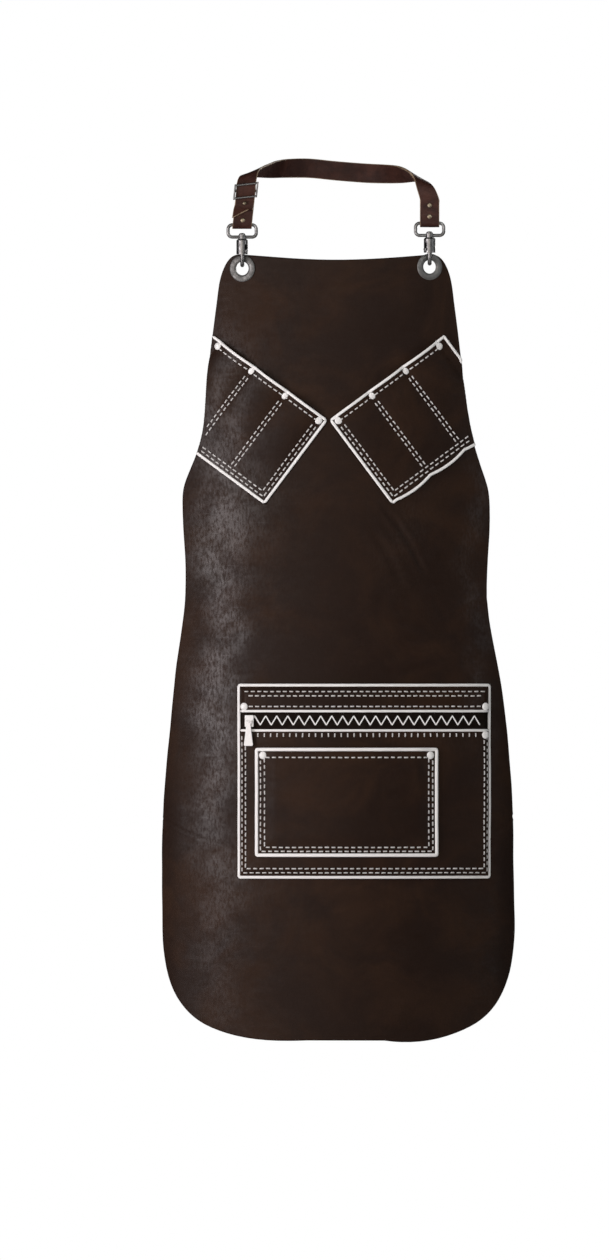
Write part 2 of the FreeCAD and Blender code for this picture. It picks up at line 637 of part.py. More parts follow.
RIGHT_RUN = [
    ((30.0, -2.8, -2.4), (0, 0.05, 1.0), (0.35, 1, 0)),
    ((52.0, Y_HOOK + 90.0, -3.4), (-0.15, 0.15, 1.0), (0.9, 1, 0.2)),
    ((65.0, Y_HOOK + 70.0, -4.0), (-0.4, 0.25, 1.0), (1, 0.5, 0.5)),
    ((76.0, Y_HOOK + 42.0, -4.8), (-0.8, 0.3, 0.8), (0.8, 0.2, 0.8)),
    ((84.0, Y_HOOK + 18.0, -7.4), (-1, 0.25, 0.60), (0.5, 0, 1)),
    ((90.0, Y_HOOK + 4.0, -13.5), (-1, 0.1, 0.35), (0.1, -0.7, 0.7)),
    ((93.6, Y_HOOK - 0.6, -22.0), (-1, 0, 0.10), (0, -1, 0.15)),
    ((RIGHT_X, Y_HOOK - 1.1, -32.0), (-1, 0, 0), (0, -1, 0)),
    ((RIGHT_X, Y_HOOK - 1.1, -38.0), (-1, 0, 0), (0, -1, 0)),
]


def strap_section(p, width_way, face_way):
    w = Vec(*width_way).normalize()
    t = Vec(*face_way)
    t = (t - w * t.dot(w)).normalize() * HT
    w = w * (STRAP_W / 2.0)
    c = Vec(*p)
    return wire_of([tuple(c - w - t), tuple(c + w - t), tuple(c + w + t), tuple(c - w + t)])


wires = [strap_section(*row) for row in LEFT_RUN + BACK + RIGHT_RUN]
long_strap = Part.makeLoft(wires, True, False)
slant = Part.makeBox(60, 20, 20, Vec(-30, -10, -20))
slant.Placement = FreeCAD.Placement(
    Vec(lean_x(-43.0), Y_HOOK - 6.0, -43.0), FreeCAD.Rotation(Vec(0, 1, 0), -24)
)
long_strap = long_strap.cut(slant)
STUD_Z = -34.8
stud_x = lean_x(STUD_Z)
long_strap = long_strap.cut(
    rod(Vec(stud_x, Y_HOOK - 9, STUD_Z), Vec(stud_x, Y_HOOK - 1.5, STUD_Z), 1.1)
)
right_end = fold(RIGHT_X, RIGHT_BAR_Z, RIGHT_TOP, 10.0)
long_strap = long_strap.fuse(right_end)
for z in RIGHT_RIVETS_Z:
    drill_from = Vec(RIGHT_X, Y_HOOK - 9, z)
    drill_to = Vec(RIGHT_X, Y_HOOK + 9, z)
    long_strap = long_strap.cut(rod(drill_from, drill_to, RIVET_R + 0.1))
save(long_strap.removeSplitter(), "long_neck_strap")

stud = Part.makeSphere(2.0, Vec(stud_x, Y_HOOK - 6.7, STUD_Z))
stud = stud.fuse(rod(Vec(stud_x, Y_HOOK - 6.5, STUD_Z), Vec(stud_x, Y_HOOK - 2.5, STUD_Z), 1.0))
save(stud, "tail_stud")


def half_at(bar_z, z, pinch=10.0):
    """Half the thickness of a folded strap end at a height."""
    r_out = BAR_R + BAR_GAP + STRAP_T
    share = min(1.0, (z - bar_z) / pinch)
    return r_out + (STRAP_T - r_out) * share


brass = []
for x, z, bar_z in (
    (low_x, LEFT_RIVET_Z, LEFT_BAR_Z),
    (RIGHT_X, RIGHT_RIVETS_Z[0], RIGHT_BAR_Z),
    (RIGHT_X, RIGHT_RIVETS_Z[1], RIGHT_BAR_Z),
):
    deep = half_at(bar_z, z - 3.0)
    brass.append(strap_rivet(x, z, Y_HOOK - deep, Y_HOOK + deep))
save(Part.makeCompound(brass), "brass_rivets")
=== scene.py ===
import json
import math

import bmesh
import bpy
import numpy as np
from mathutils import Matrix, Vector


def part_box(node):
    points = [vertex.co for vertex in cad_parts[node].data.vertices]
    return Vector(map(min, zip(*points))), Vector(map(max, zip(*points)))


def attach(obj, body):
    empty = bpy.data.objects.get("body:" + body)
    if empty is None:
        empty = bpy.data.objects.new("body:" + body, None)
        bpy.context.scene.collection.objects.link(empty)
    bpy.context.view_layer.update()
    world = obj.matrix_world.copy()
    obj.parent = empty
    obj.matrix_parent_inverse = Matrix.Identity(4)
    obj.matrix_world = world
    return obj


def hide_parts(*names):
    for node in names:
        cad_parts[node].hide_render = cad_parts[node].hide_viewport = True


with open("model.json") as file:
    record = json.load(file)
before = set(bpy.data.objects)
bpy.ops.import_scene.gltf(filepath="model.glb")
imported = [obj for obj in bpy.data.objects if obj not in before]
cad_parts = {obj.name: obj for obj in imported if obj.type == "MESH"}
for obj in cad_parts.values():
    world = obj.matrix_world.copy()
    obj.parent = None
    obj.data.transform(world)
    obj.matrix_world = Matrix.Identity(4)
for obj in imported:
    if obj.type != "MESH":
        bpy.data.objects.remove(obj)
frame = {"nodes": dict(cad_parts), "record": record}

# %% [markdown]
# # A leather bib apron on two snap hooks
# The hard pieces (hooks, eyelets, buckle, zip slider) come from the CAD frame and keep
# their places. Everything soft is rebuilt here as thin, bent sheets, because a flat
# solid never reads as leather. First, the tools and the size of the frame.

MM = 0.001
PANEL_T, POCKET_T, LAP_T, TAPE_T = 0.0016, 0.0013, 0.0014, 0.0007  # thickness of the sheets
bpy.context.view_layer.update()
NODES = frame["nodes"]
RNG = np.random.default_rng(7)

# %% [markdown]
# ## The bent sheet
# The apron hangs as if over a chest: a wide bend across the front and a tighter one at
# each side. Rolling each piece over a cylinder, bending with a lattice, or writing the
# bend as one function would all work. A function is best: every pocket, seam and rivet
# can ask it for a place and for the way the leather faces there.

# %% The bent sheet as a function
PANEL_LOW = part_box("apron_panel")[0]
R1, R2, X_BEND = 0.300, 0.075, 0.160
Y_FRONT = PANEL_LOW.y
YC = Y_FRONT + R1
BEND = math.asin(X_BEND / R1)
SIDE_X = (R1 - R2) * math.sin(BEND)
SIDE_Y = YC - (R1 - R2) * math.cos(BEND)


def bent(x, z, off):
    """Points of the sheet in front of (x, z), raised by off, and their normals."""
    x, z, off = np.broadcast_arrays(*(np.asarray(v, float) for v in (x, z, off)))
    ax, side = np.abs(x), np.where(x < 0, -1.0, 1.0)
    wide = ax <= X_BEND
    a = np.where(wide, np.arcsin(np.clip(ax / R1, 0, 1)),
                 np.arcsin(np.clip((ax - SIDE_X) / R2, 0, 0.995)))
    y = np.where(wide, YC - R1 * np.cos(a), SIDE_Y - R2 * np.cos(a))
    normal = np.stack([side * np.sin(a), -np.cos(a), 0 * a], -1)
    return np.stack([x, y, z], -1) + normal * off[..., None], normal


def smooth(t):
    t = np.clip(t, 0, 1)
    return t * t * (3 - 2 * t)


# %% [markdown]
# ## Meshes from grids
# Cloth simulation, sculpting and plain grids are the usual ways to a soft sheet. Grids
# are used: they repeat exactly, and a closed grid with a rounded rim has the real
# thickness of the leather at every edge.

# %% Where the hide has been rubbed
POLISH = (
    # x, z, half width, half height, amount
    (-0.110, -0.350, 0.034, 0.070, 0.95), (-0.118, -0.455, 0.016, 0.060, 0.70),
    (-0.121, -0.550, 0.024, 0.060, 0.90), (-0.128, -0.640, 0.018, 0.050, 0.60),
    (-0.116, -0.720, 0.030, 0.050, 0.35), (-0.122, -0.810, 0.020, 0.070, 0.16),
    (-0.112, -0.225, 0.026, 0.050, 0.50), (0.073, -0.375, 0.022, 0.045, 0.35),
    (0.142, -0.340, 0.009, 0.050, 0.45), (0.138, -0.440, 0.009, 0.060, 0.45),
    (0.150, -0.540, 0.008, 0.040, 0.45), (0.080, -0.590, 0.040, 0.015, 0.20))


def polish(x, z):
    """How far bare hands have brought up the wax: high on the wearer's sides."""
    bend = 0.008 * np.sin(z * 46 + 1.2) + 0.004 * np.sin(z * 121)
    total = 0.05 + 0 * x
    for cx, cz, rx, rz, amount in POLISH:
        d = ((x + bend - cx) / rx) ** 2 + ((z - cz) / rz) ** 2
        total = total + amount * np.exp(-d * 0.9)
    return np.minimum(total, 1.0)


# %% Making sheets, beads and ribbons
def new_object(name, verts, faces, materials, index=None, body="apron"):
    mesh = bpy.data.meshes.new(name)
    mesh.from_pydata([tuple(v) for v in verts], [], [tuple(f) for f in faces])
    for m in materials:
        mesh.materials.append(m)
    if index is not None:
        mesh.polygons.foreach_set("material_index", np.asarray(index, np.int32))
    mesh.polygons.foreach_set("use_smooth", np.ones(len(mesh.polygons), bool))
    mesh.update()
    ob = bpy.data.objects.new(name, mesh)
    bpy.context.scene.collection.objects.link(ob)
    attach(ob, body)
    return ob


def face_outwards(ob):
    bm = bmesh.new()
    bm.from_mesh(ob.data)
    bmesh.ops.recalc_face_normals(bm, faces=bm.faces)
    bm.to_mesh(ob.data)
    bm.free()


def grid_sheet(name, P, N, thick, materials, body="apron"):
    """A closed sheet: P is its outer face as a grid, N its normals."""
    n, m = P.shape[:2]
    outer, inner = P.reshape(-1, 3), (P - N * thick).reshape(-1, 3)
    idx = np.arange(n * m).reshape(n, m)
    quads = np.stack([idx[:-1, :-1], idx[1:, :-1], idx[1:, 1:], idx[:-1, 1:]], -1).reshape(-1, 4)
    ring = np.concatenate([idx[:, 0], idx[-1, 1:], idx[-2::-1, -1], idx[0, -2:0:-1]])
    centre = outer.mean(0)
    mid = (outer[ring] + inner[ring]) / 2
    away = np.roll(mid, -1, 0) - np.roll(mid, 1, 0)
    away = np.cross(away, N.reshape(-1, 3)[ring])
    away /= np.linalg.norm(away, axis=1)[:, None] + 1e-9
    if ((mid - centre) * away).sum() < 0:
        away = -away
    mid = mid + away * thick * 0.22
    base, k = n * m, len(ring)
    verts = np.concatenate([outer, inner, mid])
    nxt = np.roll(np.arange(k), -1)
    r1 = np.stack([ring, 2 * base + np.arange(k), 2 * base + nxt, ring[nxt]], -1)
    r2 = np.stack([2 * base + np.arange(k), base + ring, base + ring[nxt], 2 * base + nxt], -1)
    faces = np.concatenate([quads, (quads + base)[:, ::-1], r1, r2])
    index = np.concatenate([np.zeros(len(quads)), np.full(len(quads), 1), np.full(2 * k, 2)])
    index = np.minimum(index, len(materials) - 1).astype(int)
    ob = new_object(name, verts, faces, materials, index, body)
    face_outwards(ob)
    rubbed = ob.data.attributes.new("polish", "FLOAT", "POINT")
    rubbed.data.foreach_set("value", polish(verts[:, 0], verts[:, 2]).astype(np.float32))
    return ob


def sweep(paths, name, material, half_w, half_h, sides=8, body="apron"):
    """Beads along paths of (points, normals): an oval section, rounded ends."""
    verts, faces = [], []
    for P, N in paths:
        P, N = np.asarray(P), np.asarray(N)
        T = np.gradient(P, axis=0)
        T /= np.linalg.norm(T, axis=1)[:, None] + 1e-12
        B = np.cross(T, N)
        B /= np.linalg.norm(B, axis=1)[:, None] + 1e-12
        size = np.ones(len(P))
        if np.linalg.norm(P[0] - P[-1]) > 1e-6:
            size[0] = size[-1] = 0.45
        t = np.linspace(0, 2 * math.pi, sides, endpoint=False)
        ring = (P[:, None] + B[:, None] * (np.cos(t) * half_w)[None, :, None] * size[:, None, None]
                + N[:, None] * (np.sin(t) * half_h)[None, :, None] * size[:, None, None])
        base = len(verts)
        verts.extend(ring.reshape(-1, 3))
        for i in range(len(P) - 1):
            for j in range(sides):
                k = (j + 1) % sides
                faces.append((base + i * sides + j, base + i * sides + k,
                              base + (i + 1) * sides + k, base + (i + 1) * sides + j))
        faces.append(tuple(base + j for j in reversed(range(sides))))
        faces.append(tuple(base + (len(P) - 1) * sides + j for j in range(sides)))
    return new_object(name, verts, faces, [material], None, body)


def resample(P, step):
    P = np.asarray(P, float)
    d = np.concatenate([[0], np.cumsum(np.linalg.norm(np.diff(P, axis=0), axis=1))])
    n = max(2, int(round(d[-1] / step)) + 1)
    s = np.linspace(0, d[-1], n)
    return np.stack([np.interp(s, d, P[:, i]) for i in range(P.shape[1])], -1)


# %% [markdown]
# ## Shader groups
# Leather has three scales: cloudy wax colour over the whole hide, soft wrinkles, and
# fine pores. One group makes all three as plain values, so that the apron and the straps
# can share it with other numbers. Cloth and metal have smaller groups of their own.

# %% Node group helpers
def group(name, inputs, outputs):
    g = bpy.data.node_groups.new(name, "ShaderNodeTree")
    for n, kind, value in inputs:
        s = g.interface.new_socket(n, in_out="INPUT", socket_type="NodeSocket" + kind)
        if value is not None:
            s.default_value = value
    for n, kind in outputs:
        g.interface.new_socket(n, in_out="OUTPUT", socket_type="NodeSocket" + kind)
    return g, g.nodes.new("NodeGroupInput"), g.nodes.new("NodeGroupOutput")


def node(tree, kind, links=None, **props):
    n = tree.nodes.new(kind)
    for k, v in props.items():
        setattr(n, k, v)
    for k, v in (links or {}).items():
        if isinstance(v, bpy.types.NodeSocket):
            tree.links.new(v, n.inputs[k])
        else:
            n.inputs[k].default_value = v
    return n


def math_node(tree, op, a, b=0.0, clamp=False):
    return node(tree, "ShaderNodeMath", {0: a, 1: b}, operation=op, use_clamp=clamp).outputs[0]


def ramp(tree, value, low, high, to_low=0.0, to_high=1.0):
    n = node(tree, "ShaderNodeMapRange", {0: value, 1: low, 2: high, 3: to_low, 4: to_high})
    n.interpolation_type = "SMOOTHSTEP"
    return n.outputs[0]


def mix(tree, factor, a, b):
    n = node(tree, "ShaderNodeMix", data_type="RGBA")
    for k, v in ((0, factor), (6, a), (7, b)):
        if isinstance(v, bpy.types.NodeSocket):
            tree.links.new(v, n.inputs[k])
        else:
            n.inputs[k].default_value = v
    return n.outputs[2]


# %% Leather group
g, gi, go = group(
    "Waxed hide",
    [("Vector", "Vector", None), ("Deep", "Color", (0.0180, 0.0098, 0.0068, 1)),
     ("Warm", "Color", (0.0320, 0.0158, 0.0088, 1)), ("Pale", "Color", (0.046, 0.032, 0.024, 1)),
     ("Cloud Scale", "Float", 14.0), ("Pore Scale", "Float", 900.0), ("Wear", "Float", 0.3),
     ("Polish", "Float", 0.0)],
    [("Color", "Color"), ("Roughness", "Float"), ("Height", "Float"), ("Wax", "Float")])
vec = gi.outputs["Vector"]
cloud = node(g, "ShaderNodeTexNoise", {"Vector": vec, "Scale": gi.outputs["Cloud Scale"],
                                      "Detail": 6.0, "Roughness": 0.62, "Distortion": 0.6})
big = node(g, "ShaderNodeTexNoise", {"Vector": vec, "Scale": 5.0, "Detail": 3.0, "Roughness": 0.5})
grain_map = node(g, "ShaderNodeMapping", {"Vector": vec, "Scale": (1.0, 1.0, 2.6)})
streak = node(g, "ShaderNodeTexNoise", {"Vector": grain_map.outputs[0], "Scale": 60.0,
                                       "Detail": 5.0, "Roughness": 0.65})
pores = node(g, "ShaderNodeTexVoronoi", {"Vector": vec, "Scale": gi.outputs["Pore Scale"],
                                        "Randomness": 1.0})
fine = node(g, "ShaderNodeTexNoise", {"Vector": vec, "Scale": 420.0, "Detail": 3.0})
warm = ramp(g, cloud.outputs[0], 0.36, 0.70)
colour = mix(g, warm, gi.outputs["Deep"], gi.outputs["Warm"])
dark_patch = ramp(g, big.outputs[0], 0.35, 0.65, 0.0, 0.45)
colour = mix(g, dark_patch, colour, gi.outputs["Deep"])
worn = math_node(g, "MULTIPLY", ramp(g, streak.outputs[0], 0.55, 0.80), gi.outputs["Wear"])
colour = mix(g, worn, colour, gi.outputs["Pale"])
g.links.new(colour, go.inputs["Color"])
rough = math_node(g, "ADD", ramp(g, streak.outputs[0], 0.3, 0.7, -0.10, 0.12),
                  ramp(g, cloud.outputs[0], 0.3, 0.7, 0.48, 0.60))
g.links.new(rough, go.inputs["Roughness"])
h = math_node(g, "MULTIPLY", ramp(g, pores.outputs["Distance"], 0.0, 0.55), 0.35)
h = math_node(g, "ADD", h, math_node(g, "MULTIPLY", fine.outputs[0], 0.35))
h = math_node(g, "ADD", h, math_node(g, "MULTIPLY", streak.outputs[0], 0.9))
h = math_node(g, "ADD", h, math_node(g, "MULTIPLY", cloud.outputs[0], 1.6))
g.links.new(h, go.inputs["Height"])
fleck_map = node(g, "ShaderNodeMapping", {"Vector": vec, "Scale": (420.0, 420.0, 190.0)})
flecks = node(g, "ShaderNodeTexNoise", {"Vector": fleck_map.outputs[0], "Scale": 1.0, "Detail": 3.0,
                                       "Roughness": 0.7})
blots = node(g, "ShaderNodeTexNoise", {"Vector": vec, "Scale": 55.0, "Detail": 4.0, "Roughness": 0.6})
scratch_map = node(g, "ShaderNodeMapping", {"Vector": vec, "Scale": (40.0, 40.0, 420.0)})
scratches = node(g, "ShaderNodeTexNoise", {"Vector": scratch_map.outputs[0], "Scale": 1.0, "Detail": 2.0})
film = math_node(g, "MULTIPLY", ramp(g, flecks.outputs[0], 0.34, 0.64, 0.20, 1.05),
                 ramp(g, blots.outputs[0], 0.28, 0.62, 0.40, 1.15))
film = math_node(g, "ADD", film, ramp(g, scratches.outputs[0], 0.62, 0.78, 0.0, 0.5))
wax = math_node(g, "MULTIPLY", film, gi.outputs["Polish"], clamp=True)
g.links.new(wax, go.inputs["Wax"])
HIDE = g
print("hide group has", len(g.nodes), "nodes")

# %% Thread, tape and metal groups
g, gi, go = group(
    "Woven thread",
    [("Vector", "Vector", None), ("Base", "Color", (0.8, 0.8, 0.79, 1)), ("Soil", "Float", 0.15),
     ("Scale", "Float", 1400.0)],
    [("Color", "Color"), ("Height", "Float")])
twist = node(g, "ShaderNodeTexWave", {"Vector": gi.outputs["Vector"], "Scale": gi.outputs["Scale"],
                                     "Distortion": 1.5, "Detail": 1.0}, bands_direction="DIAGONAL")
dust = node(g, "ShaderNodeTexNoise", {"Vector": gi.outputs["Vector"], "Scale": 120.0, "Detail": 4.0})
soil = math_node(g, "MULTIPLY", ramp(g, dust.outputs[0], 0.45, 0.75), gi.outputs["Soil"])
colour = mix(g, soil, gi.outputs["Base"], (0.42, 0.38, 0.33, 1))
g.links.new(colour, go.inputs["Color"])
g.links.new(twist.outputs[1], go.inputs["Height"])
THREAD = g

g, gi, go = group(
    "Tumbled plate",
    [("Vector", "Vector", None), ("Base", "Color", (0.5, 0.5, 0.49, 1)),
     ("Tarnish", "Color", (0.12, 0.11, 0.10, 1)), ("Amount", "Float", 0.5),
     ("Rough", "Float", 0.22)],
    [("Color", "Color"), ("Roughness", "Float"), ("Height", "Float")])
spots = node(g, "ShaderNodeTexNoise", {"Vector": gi.outputs["Vector"], "Scale": 260.0,
                                      "Detail": 5.0, "Roughness": 0.6})
dings = node(g, "ShaderNodeTexNoise", {"Vector": gi.outputs["Vector"], "Scale": 900.0, "Detail": 2.0})
dark = math_node(g, "MULTIPLY", ramp(g, spots.outputs[0], 0.42, 0.72), gi.outputs["Amount"])
g.links.new(mix(g, dark, gi.outputs["Base"], gi.outputs["Tarnish"]), go.inputs["Color"])
g.links.new(math_node(g, "ADD", gi.outputs["Rough"], ramp(g, spots.outputs[0], 0.3, 0.7, -0.05, 0.16)),
            go.inputs["Roughness"])
g.links.new(dings.outputs[0], go.inputs["Height"])
PLATE = g


# %% Materials from the groups
def material(name, tree, settings, bump, shader=None):
    m = bpy.data.materials.new(name)
    m.use_nodes = True
    t = m.node_tree
    bsdf = t.nodes["Principled BSDF"]
    place = node(t, "ShaderNodeTexCoord")
    gn = node(t, "ShaderNodeGroup")
    gn.node_tree = tree
    t.links.new(place.outputs["Object"], gn.inputs["Vector"])
    for k, v in settings.items():
        gn.inputs[k].default_value = v
    t.links.new(gn.outputs["Color"], bsdf.inputs["Base Color"])
    if "Roughness" in gn.outputs:
        t.links.new(gn.outputs["Roughness"], bsdf.inputs["Roughness"])
    if "Wax" in gn.outputs:
        rubbed = node(t, "ShaderNodeAttribute", attribute_name="polish")
        t.links.new(rubbed.outputs["Fac"], gn.inputs["Polish"])
        t.links.new(gn.outputs["Wax"], bsdf.inputs["Coat Weight"])
        bsdf.inputs["Coat Roughness"].default_value = 0.36
        bsdf.inputs["Coat IOR"].default_value = 1.36
    if bump:
        strength, distance = bump
        b = node(t, "ShaderNodeBump", {"Strength": strength, "Distance": distance,
                                       "Height": gn.outputs["Height"]})
        t.links.new(b.outputs[0], bsdf.inputs["Normal"])
    for k, v in (shader or {}).items():
        bsdf.inputs[k].default_value = v
    return m


apron_face = material("Apron leather", HIDE, {"Wear": 0.10}, (0.5, 0.0004), {"Specular IOR Level": 0.08})
apron_back = material("Apron flesh side", HIDE, {
    "Deep": (0.035, 0.022, 0.016, 1), "Warm": (0.075, 0.045, 0.030, 1), "Wear": 0.5,
    "Pore Scale": 1600.0}, (0.8, 0.0008), {"Specular IOR Level": 0.15})
cut_edge = material("Burnished edge", HIDE, {
    "Deep": (0.020, 0.013, 0.010, 1), "Warm": (0.055, 0.035, 0.025, 1), "Wear": 0.3},
    (0.4, 0.0003), {"Specular IOR Level": 0.3})
strap_face = material("Strap leather", HIDE, {
    "Deep": (0.026, 0.0095, 0.0065, 1), "Warm": (0.075, 0.028, 0.019, 1),
    "Pale": (0.13, 0.065, 0.045, 1), "Cloud Scale": 40.0, "Wear": 0.25},
    (0.4, 0.0004), {"Specular IOR Level": 0.18})
strap_inner = material("Strap inner face", HIDE, {
    "Deep": (0.030, 0.012, 0.009, 1), "Warm": (0.070, 0.028, 0.020, 1), "Cloud Scale": 40.0,
    "Wear": 0.12}, (0.5, 0.0004), {"Specular IOR Level": 0.15})
raw_edge = material("Raw strap edge", HIDE, {
    "Deep": (0.20, 0.14, 0.09, 1), "Warm": (0.45, 0.34, 0.23, 1), "Pale": (0.6, 0.5, 0.38, 1),
    "Cloud Scale": 120.0, "Wear": 0.6}, (0.7, 0.0004), {"Specular IOR Level": 0.2})
piping_mat = material("White piping", THREAD, {
    "Base": (0.92, 0.92, 0.91, 1), "Scale": 700.0, "Soil": 0.04}, (0.3, 0.0003),
                      {"Roughness": 0.6})
thread_mat = material("White thread", THREAD, {"Base": (0.72, 0.71, 0.70, 1), "Scale": 1800.0},
                      (0.5, 0.0003), {"Roughness": 0.55})
tape_mat = material("Dark zip tape", THREAD, {
    "Base": (0.012, 0.008, 0.006, 1), "Soil": 0.02, "Scale": 900.0}, (0.6, 0.0004),
    {"Roughness": 0.9, "Specular IOR Level": 0.05})
enamel = material("White enamel", PLATE, {
    "Base": (0.86, 0.86, 0.85, 1), "Tarnish": (0.6, 0.6, 0.58, 1), "Amount": 0.3, "Rough": 0.28},
    (0.05, 0.0002), {"Coat Weight": 0.3})
nickel = material("Tumbled nickel", PLATE, {
    "Base": (0.22, 0.22, 0.22, 1), "Tarnish": (0.11, 0.11, 0.11, 1), "Amount": 0.6, "Rough": 0.34},
    (0.04, 0.0001), {"Metallic": 1.0})
eyelet_plate = material("Dulled eyelet plate", PLATE, {
    "Base": (0.20, 0.20, 0.195, 1), "Tarnish": (0.11, 0.11, 0.105, 1), "Amount": 0.5, "Rough": 0.55},
    (0.04, 0.0001), {"Metallic": 1.0})
steel = material("Spring wire", PLATE, {"Base": (0.55, 0.55, 0.55, 1), "Amount": 0.2}, None,
                 {"Metallic": 1.0})
brass = material("Aged brass", PLATE, {
    "Base": (0.36, 0.31, 0.22, 1), "Tarnish": (0.14, 0.11, 0.07, 1), "Amount": 0.6, "Rough": 0.42},
    (0.06, 0.0001), {"Metallic": 1.0})
print("materials", len(bpy.data.materials))

# %% [markdown]
# ## The panel
# The outline is read from the rim of the CAD panel and filled with a four-sided patch,
# so that grid lines follow the edge. Shallow creases are pressed into it: a fold line
# across the skirt, and pulls below the right chest pocket where the leather turns.

# %% Outline of the panel from its rim
def rim_outline():
    me = NODES["apron_panel"].data
    pts = []
    holes = [(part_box(s + "_eyelet")[0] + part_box(s + "_eyelet")[1]) / 2 for s in ("left", "right")]
    for p in me.polygons:
        if abs(p.normal.y) > 0.03:
            continue
        c = p.center
        if min((c - q).length for q in holes) < 0.0125:
            continue
        pts += [tuple(round(me.vertices[i].co[k], 6) for k in (0, 2)) for i in p.vertices]
    pts = np.array(sorted(set(pts)))
    mid = np.array([0, -0.5])
    order = np.argsort(np.arctan2(*(pts - mid).T))
    return pts[order]


RIM = rim_outline()


def rim_between(corner_a, corner_b):
    """The stretch of the rim from one corner to the next, going clockwise."""
    i = np.argmin(np.linalg.norm(RIM - corner_a, axis=1))
    j = np.argmin(np.linalg.norm(RIM - corner_b, axis=1))
    step = np.arange(i, j + 1) if j >= i else np.concatenate([np.arange(i, len(RIM)), np.arange(0, j + 1)])
    return RIM[step]


def even(P, n):
    """n points, evenly spaced along a line of points."""
    d = np.concatenate([[0], np.cumsum(np.linalg.norm(np.diff(P, axis=0), axis=1))])
    s = np.linspace(0, d[-1], n)
    return np.stack([np.interp(s, d, P[:, 0]), np.interp(s, d, P[:, 1])], -1)


TL, TR = np.array([-0.108, -0.091]), np.array([0.108, -0.092])
BR, BL = np.array([0.162, -0.862]), np.array([-0.155, -0.862])
top_line, right_line = rim_between(TL, TR), rim_between(TR, BR)
low_line, left_line = rim_between(BR, BL)[::-1], rim_between(BL, TL)[::-1]
print("rim points", len(RIM), len(top_line), len(right_line), len(low_line), len(left_line))


def edge_x(side, z):
    """How far the panel reaches to one side at a height."""
    line = left_line if side < 0 else right_line
    order = np.argsort(line[:, 1])
    return np.interp(z, line[order, 1], line[order, 0])


# %% Creases and slow waves in the leather
def crease(x, z, a, b, width, depth, bow=0.0):
    a, b = np.array(a), np.array(b)
    d = b - a
    length = np.linalg.norm(d)
    t = ((x - a[0]) * d[0] + (z - a[1]) * d[1]) / length ** 2
    side = ((x - a[0]) * -d[1] + (z - a[1]) * d[0]) / length
    side = side - bow * 4 * t * (1 - t)
    along = smooth((t + 0.05) / 0.3) * smooth((1.05 - t) / 0.3)
    return -depth * np.exp(-(side / width) ** 2) * along + 0.45 * depth * along * (
        np.exp(-((side - 1.7 * width) / width) ** 2) + np.exp(-((side + 1.7 * width) / width) ** 2))


def relief(x, z):
    """Small rises and dips of the panel's face, in metres."""
    h = 0.00035 * np.sin(x * 31 + z * 9 + 1.0) + 0.0003 * np.sin(z * 23 - x * 14)
    h += 0.0002 * np.sin(z * 57 + x * 43) + 0.00012 * np.sin(z * 130 + 3 * np.sin(x * 40))
    for a, b, w, d, bow in (
        ((0.048, -0.347), (0.094, -0.422), 0.0030, 0.0011, 0.003),
        ((0.058, -0.352), (0.090, -0.398), 0.0022, 0.0007, -0.002),
        ((0.030, -0.362), (0.070, -0.436), 0.0045, 0.0006, 0.004),
        ((-0.150, -0.352), (-0.085, -0.330), 0.0040, 0.0006, 0.002),
        ((-0.155, -0.470), (-0.100, -0.485), 0.0040, 0.0005, -0.003),
        ((0.120, -0.455), (0.158, -0.440), 0.0035, 0.0006, 0.002),
        ((-0.186, -0.664), (-0.085, -0.703), 0.0011, 0.00075, -0.0065),
        ((0.150, -0.693), (0.190, -0.655), 0.0011, 0.00075, -0.004),
    ):
        h = h + crease(x, z, a, b, w, d, bow)
    return h


# %% The panel itself
n_u, n_v = ((190, 400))
top, low = even(top_line, n_u), even(low_line, n_u)
left, right = even(left_line, n_v), even(right_line, n_v)
u = np.linspace(0, 1, n_u)[None, :, None]
v = np.linspace(0, 1, n_v)[:, None, None]
flat = ((1 - v) * top[None] + v * low[None] + (1 - u) * left[:, None] + u * right[:, None]
        - (1 - u) * (1 - v) * top[0] - u * (1 - v) * top[-1]
        - (1 - u) * v * low[0] - u * v * low[-1])
X, Z = flat[..., 0], flat[..., 1]
P, N = bent(X, Z, relief(X, Z))
panel = grid_sheet("apron_panel_leather", P, N, PANEL_T, [apron_face, apron_back, cut_edge])
bm = bmesh.new()
bm.from_mesh(panel.data)
for side in ("left", "right"):
    lo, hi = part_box(side + "_eyelet")
    c = (lo + hi) / 2
    gone = [f for f in bm.faces if (f.calc_center_median() - c).length < 0.0098]
    bmesh.ops.delete(bm, geom=gone, context="FACES")
bm.to_mesh(panel.data)
bm.free()
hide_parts("apron_panel")
print("panel", len(panel.data.vertices), "points")

# %% [markdown]
# ## Pockets
# A pocket is a sheet that lies on the panel along its seams and stands off it between
# them. A height function for each pocket gives the swell of the leather; the same
# function later seats the stitches, piping and rivets, so nothing floats.

# %% Chest pockets: axes and swell
MOUTH, DEPTH = 0.1424, 0.1086
SEAM0, PITCH, SLOTS = 0.0064, 0.043, 3
TILT_COS, TILT_SIN = 0.8022, 0.5971  # the mouths slope down towards the middle
CHEST = {-1: "left", 1: "right"}


def chest_axes(side):
    """Where the mouth of a chest pocket starts, its way along the mouth and its way down."""
    lo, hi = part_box(CHEST[side] + "_chest_pocket")
    along = np.array([-side * TILT_COS, -TILT_SIN])
    down = np.array([side * TILT_SIN, -TILT_COS])
    # the mouth ends at the pocket's innermost corner, DEPTH up along the side from its lowest one
    end = np.array([lo.x if side > 0 else hi.x, lo.z + DEPTH * TILT_COS])
    return end - along * MOUTH, along, down


def chest_xz(side, u, v):
    c, a, d = chest_axes(side)
    return c[0] + a[0] * u + d[0] * v, c[1] + a[1] * u + d[1] * v


